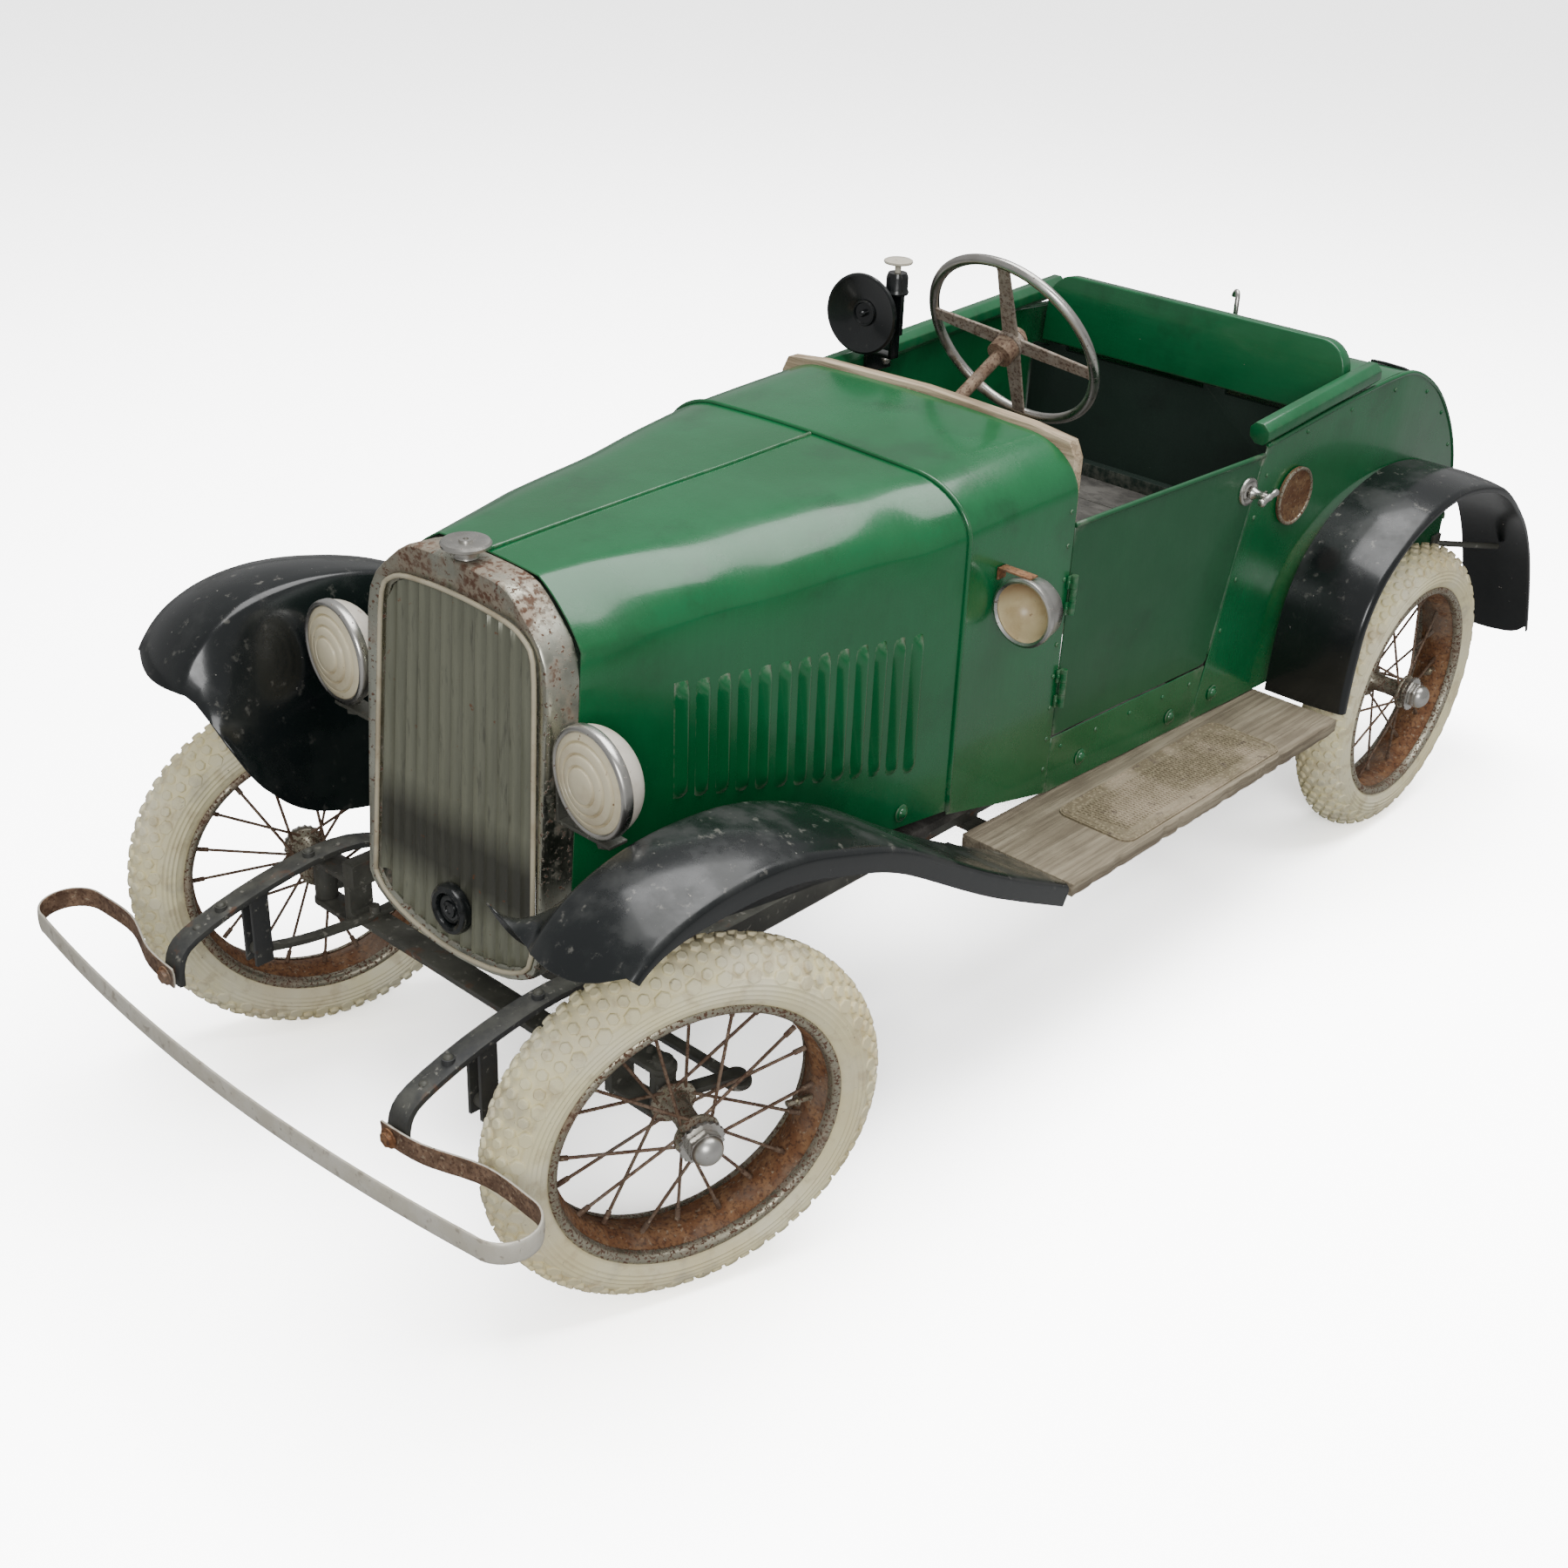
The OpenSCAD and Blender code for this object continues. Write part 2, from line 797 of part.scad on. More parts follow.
module body_bolts() {
  color("darkgreen")
    both_sides()
      for (p = [[-203, 250], [40, 222], [180, 218], [250, 222], [430, 222]])
        translate([body_x(p.x) + 0.3, p.x, p.y])
          rotate([0, 90, -body_slope(p.x)])
            cylinder(h = 5, r1 = 6, r2 = 3.5, $fn = 24);
}

// ---- wheels -------------------------------------------------------------------

module tyre() {
  color("ivory")
    rotate([0, 90, 0])
      rotate_extrude($fn = 96)
        difference() {
          translate([tyre_r - tyre_tube_r, 0])
            circle(r = tyre_tube_r, $fn = 48);
          translate([0, -30])
            square([rim_r + 0.3, 60]);
        }
}

module rim_and_hub() {
  seat_r = rim_r - 11;
  color("silver") {
    rotate([0, 90, 0])
      rotate_extrude($fn = 96)
        polygon([
          [rim_r, rim_half_w + 1], [rim_r - 3, rim_half_w + 2], [rim_r - 5, rim_half_w],
          [rim_r - 5, 14], [seat_r - 2, 9], [seat_r - 2, -9], [rim_r - 5, -14],
          [rim_r - 5, -rim_half_w], [rim_r - 3, -rim_half_w - 2], [rim_r, -rim_half_w - 1],
          [rim_r - 4.2, -rim_half_w + 2], [rim_r - 4.2, -13], [seat_r, -8], [seat_r, 8],
          [rim_r - 4.2, 13], [rim_r - 4.2, rim_half_w - 2]
        ]);
    difference() {
      union() {
        rotate([0, 90, 0]) {
          cylinder(h = 52, r = 11, center = true);
          for (z = [-21, 18])
            translate([0, 0, z])
              cylinder(h = 3, r = 18);
        }
        for (i = [0 : spoke_count - 1]) {
          side = i % 2 == 0 ? 1 : -1;
          a = 360 * i / spoke_count;
          swing = (i % 4 < 2 ? 1 : -1) * 35;
          hub_p = [side * 18.5, 15 * cos(a + swing), 15 * sin(a + swing)];
          rim_p = [side * 3, (seat_r - 1) * cos(a), (seat_r - 1) * sin(a)];
          bar(hub_p, rim_p, 1.3, $fn = 16);
        }
      }
      rotate([0, 90, 0])
        cylinder(h = 80, r = spindle_r + run_fit, center = true);
    }
  }
}

// Domed nut on the end of a spindle, just outside the hub
module hub_nut() {
  rotate([0, 90, 0]) {
    translate([0, 0, 27])
      cylinder(h = 3, r = 15);
    translate([0, 0, 30])
      cylinder(h = 7, r = 11, $fn = 6);
    translate([0, 0, 37])
      rotate_extrude()
        intersection() {
          circle(r = 11);
          square(12);
        }
  }
}

module tyre_front_left() { at_front_wheel(1) tyre(); }
module tyre_front_right() { at_front_wheel(-1) tyre(); }
module wheel_front_left() { at_front_wheel(1) rim_and_hub(); }
module wheel_front_right() { at_front_wheel(-1) rim_and_hub(); }
module tyre_rear_left() { at_rear_wheel(1) tyre(); }
module tyre_rear_right() { at_rear_wheel(-1) tyre(); }
module wheel_rear_left() { at_rear_wheel(1) rim_and_hub(); }
module wheel_rear_right() { at_rear_wheel(-1) rim_and_hub(); }

module stub_axle(side) {
  color("dimgray") {
    at_front_wheel(side) {
      rotate([0, 90, 0])
        translate([0, 0, -kingpin_out + 9])
          cylinder(h = kingpin_out + 22, r = spindle_r);
      hub_nut();
    }
    at_kingpin(side) {
      difference() {
        union() {
          translate([0, 0, wheel_z - 17])
            cylinder(h = 34, r = 10);
          scale_side(side)
            block([0, -8, wheel_z - 10], [11, 8, wheel_z + 10]);
          block([-6, 0, wheel_z - 10], [6, steer_arm, wheel_z - 5]);
          translate([0, steer_arm, wheel_z - 10])
            cylinder(h = 5, r = 8);
        }
        cylinder(h = 400, r = kingpin_r + run_fit);
      }
      translate([0, steer_arm, rod_z - 4])
        cylinder(h = wheel_z - rod_z - 3, r = 3);
    }
  }
}
module stub_axle_left() { stub_axle(1); }
module stub_axle_right() { stub_axle(-1); }

// ---- steering -------------------------------------------------------------------

rod_shift = steer_arm * sin(steer_turn);
rod_y = front_y + steer_arm * 0.955;
column_turn = asin(rod_shift / drop_arm);

// X stays across the car and Z runs up the column, from the steering wheel's middle
module at_column() {
  translate([0, hand_y, hand_z])
    rotate([column_slope - 90, 0, 0])
      rotate([0, 0, -column_turn])
        children();
}

module steering_column() {
  color("saddlebrown")
    at_column() {
      translate([0, 0, -column_len])
        cylinder(h = column_len - 8, r = column_r);
      translate([0, 0, -column_len])
        cylinder(h = 10, r = 11);
      block([-6, 0, -column_len], [6, drop_arm - 12, -column_len + 6]);
      translate([0, drop_arm - 14, -column_len + 3])
        rotate([-90, 0, 0])
          cylinder(h = 14, r = 2.5);
      translate([0, drop_arm, -column_len + 3])
        sphere(r = 4.5);
      translate([0, 0, -9])
        cylinder(h = 13, r = 2.9);
      translate([0, 0, -22])
        cylinder(h = 14, r = 13);
      translate([0, 0, 3])
        cylinder(h = 8, r1 = 13, r2 = 7);
    }
}

module steering_wheel() {
  tube = 5.2;
  color("silver")
    at_column() {
      rotate_extrude($fn = 96)
        translate([hand_wheel_r - tube, 0])
          circle(r = tube, $fn = 24);
      difference() {
        union() {
          for (a = [20 : 90 : 290])
            rotate([0, 0, a])
              block([0, -8, -4], [hand_wheel_r - tube - 2, 8, -1]);
          translate([0, 0, -7.5])
            cylinder(h = 10, r = 14);
        }
        translate([0, 0, -10])
          cylinder(h = 20, r = 3);
      }
    }
}

module column_bracket() {
  y = -330;
  z = hand_z + (y - hand_y) * tan(column_slope);
  color("dimgray")
    difference() {
      block([-14, y - 5, rail_z + 18], [14, y + 5, z + 15]);
      translate([0, hand_y, hand_z])
        rotate([90 + column_slope, 0, 0])
          cylinder(h = 800, r = column_r + run_fit);
    }
}

module track_rod() {
  color("dimgray")
    translate([rod_shift, rod_y, rod_z])
      difference() {
        union() {
          block([-kingpin_x, -5, -2.5], [kingpin_x, 5, 2.5]);
          for (x = [-kingpin_x, 0, kingpin_x])
            translate([x, 0, -2.5])
              cylinder(h = 5, r = 11.5);
        }
        for (x = [-kingpin_x, 0, kingpin_x], y = [-3.5, 0, 3.5])
          translate([x, y, -5])
            cylinder(h = 10, r = 5.4);
      }
}

// ---- pedals and crank -------------------------------------------------------------

module crank_axle() {
  web = 6;
  color("dimgray")
    translate([0, rear_y, rear_z]) {
      both_sides() {
        rotate([0, 90, 0])
          translate([0, 0, throw_x + 9])
            cylinder(h = half_track + 28 - throw_x - 9, r = spindle_r);
        translate([half_track, 0, 0])
          hub_nut();
      }
      rotate([0, 90, 0])
        cylinder(h = 2 * (throw_x - 9), r = spindle_r, center = true);
      for (s = [-1, 1]) {
        for (x = [s * throw_x - 9 - web, s * throw_x + 9])
          translate([x, 0, 0])
            rotate([s * 90, 0, 0])
              block([0, -8, -8], [web, 8, throw_r + 8]);
        translate([s * throw_x - 10, -s * throw_r, 0])
          rotate([0, 90, 0])
            cylinder(h = 20, r = 5);
      }
    }
}

pedal_y = -200;
pedal_top_z = 452;
pedal_eye_z = 262;
pedal_swing = asin(throw_r / (pedal_top_z - pedal_eye_z));

// Levers hang beside the front ends of the rods
module pedal(side) {
  drop = pedal_top_z - pedal_eye_z;
  color("darkslategray")
    translate([0, pedal_y, pedal_top_z])
      rotate([-side * pedal_swing, 0, 0])
        scale_side(side) {
          difference() {
            union() {
              block([66, -8, -drop - 10], [74, 8, 0]);
              translate([64, 0, 0])
                rotate([0, 90, 0])
                  cylinder(h = 12, r = 12);
            }
            translate([60, 0, 0])
              rotate([0, 90, 0])
                cylinder(h = 20, r = 5 + run_fit);
          }
          block([30, 8, -142], [96, 14, -84]);
        }
}
module pedal_left() { pedal(1); }
module pedal_right() { pedal(-1); }

// Rods from the cranks forward and up to the feet of the pedal levers
module pedal_rod(side) {
  y0 = rear_y - side * throw_r;
  y1 = pedal_y - side * throw_r;
  x = side * throw_x;
  color("dimgray")
    difference() {
      union() {
        bar([x, y1, pedal_eye_z], [x, y0, rear_z], 3.5);
        for (p = [[y0, rear_z], [y1, pedal_eye_z]])
          translate([x - 4, p.x, p.y])
            rotate([0, 90, 0])
              cylinder(h = 8, r = 10);
      }
      translate([x - 5, y0, rear_z])
        rotate([0, 90, 0])
          cylinder(h = 10, r = 5 + run_fit);
    }
}
module pedal_rod_left() { pedal_rod(1); }
module pedal_rod_right() { pedal_rod(-1); }

// ---- door -------------------------------------------------------------------------

hinge_x = dash_half_w + 3.8;
hinge_y = dash_y + 3;

module door() {
  handle_y = 258;
  color("forestgreen") {
    difference() {
      union() {
        intersection() {
          body_wall(dash_y + 1.5, door_rear_y - 1, 259, 463);
          side_extrude([[dash_y + 1.5, 259], [220, 259.3], [228, 260.8], [231, 264], [279.8, 463],
                        [dash_y + 1.5, 463]], 150, 230);
        }
        translate([body_x(handle_y) - 0.5, handle_y, 431])
          rotate([0, 90, 0])
            cylinder(h = 3.5, r1 = 14, r2 = 12);
      }
      translate([100, handle_y, 431])
        rotate([0, 90, 0])
          cylinder(h = 200, r = 3.6 + run_fit);
    }
    difference() {
      for (z = [302, 392])
        translate([hinge_x, hinge_y, z])
          cylinder(h = 12, r = 3.2, $fn = 24);
      translate([hinge_x, hinge_y, 200])
        cylinder(h = 300, r = 1.6 + run_fit, $fn = 24);
    }
    for (z = [302, 392])
      block([dash_half_w - 0.5, hinge_y + 2.6, z], [hinge_x - 1.8, hinge_y + 24, z + 12]);
  }
}

module door_hinges() {
  color("darkgreen")
    for (z = [302, 392]) {
      translate([hinge_x, hinge_y, z - 12.3])
        cylinder(h = 36.6, r = 1.6, $fn = 24);
      for (dz = [-12.3, 12.3]) {
        translate([hinge_x, hinge_y, z + dz])
          cylinder(h = 12, r = 3.2, $fn = 24);
        block([dash_half_w + 0.2, hinge_y - 24, z + dz], [hinge_x - 1.4, hinge_y - 1.6, z + dz + 12]);
      }
    }
}

module door_handle() {
  y = 258;
  x = body_x(y);
  color("silver")
    translate([x, y, 431]) {
      rotate([0, 90, 0])
        translate([0, 0, -10])
          cylinder(h = 33, r = 3.6);
      translate([23, 0, 0])
        rotate([-78, 0, 0])
          translate([0, 0, -15])
            cylinder(h = 30, r = 4);
      block([-10, -5, -3], [-7, 14, 3]);
    }
}

// ---- the car ------------------------------------------------------------------------

module place() {
  translate([0, -mid_y, 0]) children();
}

place() chassis();
place() floor_boards();
place() seat_board();
place() seat_bulkhead();
place() seat_back_board();
place() dash_board();
place() radiator_shell();
place() radiator_grille();
place() grille_bead();
place() radiator_cap();
place() bonnet();
place() body_beads();
place() louvres();
place() scuttle();
place() sill_left();
place() side_panel_right();
place() rear_quarter_left();
place() tail_skin();
place() coaming_rails();
place() headlamps();
place() headlamp_lenses();
place() lamp_brackets();
place() side_lamps();
place() quarter_dish();
place() front_fender_left();
place() front_fender_right();
place() rear_fenders();
place() fender_stays();
place() running_boards();
place() board_mats();
place() dumb_irons();
place() bumper();
place() front_axle();
place() leaf_springs();
place() horn();
place() axle_brackets();
place() body_bolts();
place() column_bracket();
place() door_hinges();
place() stub_axle_left();
place() stub_axle_right();
place() tyre_front_left();
place() wheel_front_left();
place() tyre_front_right();
place() wheel_front_right();
place() crank_axle();
place() tyre_rear_left();
place() wheel_rear_left();
place() tyre_rear_right();
place() wheel_rear_right();
place() steering_column();
place() steering_wheel();
place() track_rod();
place() door();
place() door_handle();
place() horn_button();
place() pedal_left();
place() pedal_right();
place() pedal_rod_left();
place() pedal_rod_right();
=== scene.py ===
# %% [markdown]
# # A child's pedal car, about 1920s in style
# The car stands on the floor with its front wheels turned to its right. Its mechanical
# pieces come from the packed model, which is loaded as a fixed frame. Each sheet, lamp,
# wheel and board that shows is then modelled over its plain solid, and the finishes are
# built from noise, so that every one carries its own wear.

# %% Load the frame
import math
import bpy
from mathutils import Matrix, Vector
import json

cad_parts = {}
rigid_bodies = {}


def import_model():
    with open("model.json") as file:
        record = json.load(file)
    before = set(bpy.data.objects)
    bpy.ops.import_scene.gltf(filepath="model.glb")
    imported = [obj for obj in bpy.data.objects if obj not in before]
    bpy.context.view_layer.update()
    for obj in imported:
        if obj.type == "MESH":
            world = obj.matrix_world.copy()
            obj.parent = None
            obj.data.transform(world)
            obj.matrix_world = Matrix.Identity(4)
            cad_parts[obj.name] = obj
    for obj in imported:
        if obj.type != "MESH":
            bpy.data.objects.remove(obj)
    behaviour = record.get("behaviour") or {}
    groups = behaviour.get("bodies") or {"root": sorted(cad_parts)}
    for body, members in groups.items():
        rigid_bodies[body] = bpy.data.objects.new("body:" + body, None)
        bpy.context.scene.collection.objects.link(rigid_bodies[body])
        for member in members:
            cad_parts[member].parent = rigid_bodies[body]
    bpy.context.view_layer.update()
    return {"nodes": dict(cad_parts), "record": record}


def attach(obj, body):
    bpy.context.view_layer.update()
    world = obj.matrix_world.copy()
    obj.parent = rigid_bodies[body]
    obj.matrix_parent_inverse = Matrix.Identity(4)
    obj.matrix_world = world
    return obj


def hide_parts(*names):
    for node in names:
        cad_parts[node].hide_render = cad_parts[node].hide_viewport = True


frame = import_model()

# %% [markdown]
# ## Working helpers
# Stations along the car are in millimetres from midway between the axles, because that
# is how the body, axles and fenders were laid out. `place` turns such a station into the
# scene's metres. Every operator acts on what is selected, so each helper starts from a
# clean selection, and each finished piece has its place in its own mesh.

# %% Helpers for places and selections
SHIFT = 12.5
FRONT_Y = -527.5
REAR_Y = 527.5
HALF_TRACK = 248.0


def place(x, y, z):
    """A point of the car, in millimetres from midway between the axles, in metres."""
    return Vector((x, y - SHIFT, z)) / 1000


def deselect():
    if bpy.context.mode != "OBJECT":
        bpy.ops.object.mode_set(mode="OBJECT")
    bpy.ops.object.select_all(action="DESELECT")


def take(piece):
    deselect()
    piece.select_set(True)
    bpy.context.view_layer.objects.active = piece
    return piece


def named(name):
    piece = bpy.context.object
    piece.name = name
    piece.data.name = name
    return piece


def settle(piece, matrix=None):
    """Moves a piece by a matrix and writes its place into its mesh."""
    if matrix is not None:
        piece.matrix_world = matrix @ piece.matrix_world
    take(piece)
    bpy.ops.object.transform_apply(location=True, rotation=True, scale=True)
    return piece


def modify(piece, kind, **settings):
    take(piece)
    bpy.ops.object.modifier_add(type=kind)
    added = piece.modifiers[-1]
    for key, value in settings.items():
        setattr(added, key, value)
    bpy.ops.object.modifier_apply(modifier=added.name)
    return piece


def smooth(piece, angle=35):
    take(piece)
    bpy.ops.object.shade_smooth_by_angle(angle=math.radians(angle))
    return piece


def joined(name, parts):
    deselect()
    for part in parts:
        part.select_set(True)
    bpy.context.view_layer.objects.active = parts[0]
    bpy.ops.object.join()
    return named(name)


def copy_of(piece, name):
    take(piece)
    bpy.ops.object.duplicate(linked=False)
    return named(name)


def mend(piece, threshold=1e-5):
    """Merges doubled vertices and turns every face outwards."""
    take(piece)
    bpy.ops.object.mode_set(mode="EDIT")
    bpy.ops.mesh.select_all(action="SELECT")
    bpy.ops.mesh.remove_doubles(threshold=threshold)
    bpy.ops.mesh.normals_make_consistent(inside=False)
    bpy.ops.object.mode_set(mode="OBJECT")
    return piece


def bevel(piece, width, segments=2, angle=30):
    return modify(piece, "BEVEL", width=width / 1000, segments=segments,
                  limit_method="ANGLE", angle_limit=math.radians(angle))


print("station (0, 0, 0) is at", tuple(place(0, 0, 0)), "m")

# %% [markdown]
# ## Ways to make a shape
# Four ways cover nearly all the pieces. A lathe spins a profile, for lamps, hubs and
# caps. A blanket lays the vertices of a grid on rows of points, for pressed sheet that
# curves both ways. A tube sweeps a ring along a path. A plate fills an outline and
# extrudes it. A fifth helper takes a copy of a frame node, cleans it and rounds its
# edges, for bars and brackets whose solid is already right.

# %% Lathe, blanket, tube, plate and softened copies
def lathe(name, profile, steps=64):
    """Spins a profile of (radius, height) points in millimetres about Z."""
    deselect()
    bpy.ops.mesh.primitive_plane_add(size=0.001)
    piece = named(name)
    bpy.ops.object.mode_set(mode="EDIT")
    bpy.ops.mesh.select_mode(type="VERT")
    bpy.ops.mesh.select_all(action="SELECT")
    bpy.ops.mesh.merge(type="CENTER")
    radius, height = profile[0]
    bpy.ops.transform.translate(value=(radius / 1000, 0, height / 1000))
    for (r0, h0), (r1, h1) in zip(profile, profile[1:]):
        step = ((r1 - r0) / 1000, 0, (h1 - h0) / 1000)
        bpy.ops.mesh.extrude_vertices_move(TRANSFORM_OT_translate={"value": step})
    bpy.ops.mesh.select_all(action="SELECT")
    bpy.ops.mesh.spin(steps=steps, angle=2 * math.pi, center=(0, 0, 0), axis=(0, 0, 1))
    return mend(piece, 2e-6)


def arc(cx, cy, r, a0, a1, n=8):
    """Points on an arc, angles in degrees."""
    angles = [math.radians(a0 + (a1 - a0) * k / n) for k in range(n + 1)]
    return [(cx + r * math.cos(a), cy + r * math.sin(a)) for a in angles]


def blanket(name, rows, flip=False):
    """A grid whose vertices lie on rows of points in metres."""
    deselect()
    bpy.ops.mesh.primitive_grid_add(
        x_subdivisions=len(rows[0]) - 1, y_subdivisions=len(rows) - 1, size=1)
    piece = named(name)
    piece.data.vertices.foreach_set("co", [c for row in rows for p in row for c in p])
    piece.data.update()
    if flip:
        bpy.ops.object.mode_set(mode="EDIT")
        bpy.ops.mesh.select_all(action="SELECT")
        bpy.ops.mesh.flip_normals()
        bpy.ops.object.mode_set(mode="OBJECT")
    return piece


def sheet_metal(name, rows, flip=False, gauge=1.6):
    piece = blanket(name, rows, flip)
    modify(piece, "SOLIDIFY", thickness=gauge / 1000, offset=-1)
    bevel(piece, gauge * 0.3, 1, 60)
    return smooth(piece, 42)


def spline(points, steps=6):
    """Catmull-Rom curve through points, as tuples of any length."""
    out = []
    last = len(points) - 1
    for i in range(last):
        a, b = points[max(i - 1, 0)], points[i]
        c, d = points[i + 1], points[min(i + 2, last)]
        for k in range(steps):
            t = k / steps
            out.append(tuple(
                0.5 * (2 * q + (r - p) * t + (2 * p - 5 * q + 4 * r - s) * t * t
                       + (3 * q - p - 3 * r + s) * t ** 3)
                for p, q, r, s in zip(a, b, c, d)))
    out.append(tuple(points[last]))
    return out


def tube(name, path, radius, sides=14, flatten=1.0, up=Vector((0, 0, 1))):
    """A round bar along a path of points in metres, closed at both ends."""
    path = [Vector(p) for p in path]
    rows = []
    for i, centre in enumerate(path):
        ahead = (path[min(i + 1, len(path) - 1)] - path[max(i - 1, 0)]).normalized()
        side = ahead.cross(up).normalized()
        top = side.cross(ahead).normalized()
        ring = [side * math.cos(a) + top * math.sin(a) * flatten
                for a in (2 * math.pi * k / sides for k in range(sides + 1))]
        for grow in ([0.001, 0.8, 1] if i == 0 else [1, 0.8, 0.001] if i == len(path) - 1 else [1]):
            inset = ahead * (radius / 1000) * 0.2 * (grow == 1) * (1 if i == 0 else -1)
            at = centre + (inset if i in (0, len(path) - 1) else Vector())
            rows.append([at + r * grow * radius / 1000 for r in ring])
    return smooth(mend(blanket(name, rows), 2e-6), 50)


def rod(name, a, b, radius, sides=12):
    """A straight bar between two points in metres."""
    a, b = Vector(a), Vector(b)
    deselect()
    bpy.ops.mesh.primitive_cylinder_add(
        vertices=sides, radius=radius / 1000, depth=(b - a).length, location=(a + b) / 2,
        rotation=(b - a).to_track_quat("Z", "Y").to_euler())
    return settle(named(name))


def box(name, low, high, edge=0.6):
    """A block between two corners given as car stations, with softened edges."""
    low, high = place(*low), place(*high)
    deselect()
    bpy.ops.mesh.primitive_cube_add(size=1, location=(low + high) / 2, scale=high - low)
    piece = settle(named(name))
    bevel(piece, edge)
    return smooth(piece)


def plate(name, outline, thick):
    """An outline of (x, y) points in millimetres, extruded up from z = 0."""
    deselect()
    bpy.ops.mesh.primitive_circle_add(vertices=len(outline), fill_type="NGON")
    piece = named(name)
    flat = [c / 1000 for x, y in outline for c in (x, y, 0)]
    piece.data.vertices.foreach_set("co", flat)
    piece.data.update()
    bpy.ops.object.mode_set(mode="EDIT")
    bpy.ops.mesh.select_all(action="SELECT")
    bpy.ops.mesh.extrude_region_move(TRANSFORM_OT_translate={"value": (0, 0, thick / 1000)})
    bpy.ops.object.mode_set(mode="OBJECT")
    return mend(piece)


def softened(node, edge=0.6, segments=2, angle=30, cut=None):
    """A cleaned copy of a frame node with rounded edges, less the points that cut picks out."""
    piece = copy_of(frame["nodes"][node], node + "_finished")
    bpy.ops.object.parent_clear(type="CLEAR_KEEP_TRANSFORM")
    piece.data.materials.clear()
    bpy.ops.mesh.customdata_custom_splitnormals_clear()
    bpy.ops.object.mode_set(mode="EDIT")
    bpy.ops.mesh.select_all(action="SELECT")
    bpy.ops.mesh.remove_doubles(threshold=1e-5)
    bpy.ops.mesh.dissolve_limited(angle_limit=math.radians(1.0))
    if cut:
        bpy.ops.mesh.select_mode(type="VERT")
        bpy.ops.mesh.select_all(action="DESELECT")
        bpy.ops.object.mode_set(mode="OBJECT")
        for vertex in piece.data.vertices:
            vertex.select = cut(vertex.co)
        bpy.ops.object.mode_set(mode="EDIT")
        bpy.ops.mesh.delete(type="VERT")
        bpy.ops.mesh.select_all(action="SELECT")
        bpy.ops.mesh.fill_holes(sides=0)
    bpy.ops.object.mode_set(mode="OBJECT")
    if edge:
        bevel(piece, edge, segments, angle)
    return smooth(piece, 32)


print("ways to make a shape:", [way.__name__ for way in (lathe, blanket, tube, plate, softened)])

# %% [markdown]
# ## Who moves with what
# `done` gives a piece its finish, the body that it rides on and the frame nodes that it
# stands for.

# %% Declare a finished piece
node_body = {
    node: body for body, nodes in frame["record"]["behaviour"]["bodies"].items() for node in nodes
}
made = []


def done(piece, finish, *nodes, body=None, slot=None, hide=True):
    if finish is not None:
        piece.data.materials.clear()
        piece.data.materials.append(finish)
    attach(piece, body or node_body[nodes[0]])
    if hide:
        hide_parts(*nodes)
    made.append(piece.name)
    return piece


# %% [markdown]
# ## Building blocks for the finishes
# Old paint, plating, wood and rubber differ in colour but wear in the same few ways:
# soft patches, fine specks, and streaks along one direction. Each way is one node group
# on Object coordinates that gives a mask from 0 to 1, so a finish is a mix of colours
# through a few masks, plus a bump.

# %% Node groups that give masks
def wire(tree, a, b):
    tree.links.new(a, b)


def add_node(tree, kind, settings=(), **inputs):
    made_node = tree.nodes.new(kind)
    for key, value in dict(settings).items():
        setattr(made_node, key, value)
    for key, value in inputs.items():
        socket = made_node.inputs[key.replace("_", " ")]
        if hasattr(value, "is_output"):
            wire(tree, value, socket)
        else:
            socket.default_value = value
    return made_node


def mask_group(name, stretch_axis=False, cells=False):
    group = bpy.data.node_groups.new(name, "ShaderNodeTree")
    for label, start in (("Scale", 20.0), ("Level", 0.5), ("Softness", 0.1), ("Seed", 0.0)):
        socket = group.interface.new_socket(label, in_out="INPUT", socket_type="NodeSocketFloat")
        socket.default_value = start
    if stretch_axis:
        socket = group.interface.new_socket("Stretch", in_out="INPUT", socket_type="NodeSocketVector")
        socket.default_value = (1, 1, 1)
    group.interface.new_socket("Mask", in_out="OUTPUT", socket_type="NodeSocketFloat")
    inside = add_node(group, "NodeGroupInput")
    outside = add_node(group, "NodeGroupOutput")
    where = add_node(group, "ShaderNodeTexCoord").outputs["Object"]
    if stretch_axis:
        scaled = add_node(group, "ShaderNodeVectorMath", {"operation": "MULTIPLY"})
        wire(group, where, scaled.inputs[0])
        wire(group, inside.outputs["Stretch"], scaled.inputs[1])
        where = scaled.outputs[0]
    if cells:
        pattern = add_node(group, "ShaderNodeTexVoronoi", Vector=where, Scale=inside.outputs["Scale"])
        value = pattern.outputs["Distance"]
    else:
        pattern = add_node(group, "ShaderNodeTexNoise", {"noise_dimensions": "4D"}, Vector=where,
                           Scale=inside.outputs["Scale"], W=inside.outputs["Seed"],
                           Detail=6.0, Roughness=0.62)
        value = pattern.outputs["Fac"]
    low = add_node(group, "ShaderNodeMath", {"operation": "SUBTRACT"})
    wire(group, inside.outputs["Level"], low.inputs[0])
    wire(group, inside.outputs["Softness"], low.inputs[1])
    high = add_node(group, "ShaderNodeMath", {"operation": "ADD"})
    wire(group, inside.outputs["Level"], high.inputs[0])
    wire(group, inside.outputs["Softness"], high.inputs[1])
    ramp = add_node(group, "ShaderNodeMapRange", {"interpolation_type": "SMOOTHSTEP"})
    wire(group, value, ramp.inputs["Value"])
    wire(group, low.outputs[0], ramp.inputs["From Min"])
    wire(group, high.outputs[0], ramp.inputs["From Max"])
    wire(group, ramp.outputs["Result"], outside.inputs["Mask"])
    return group


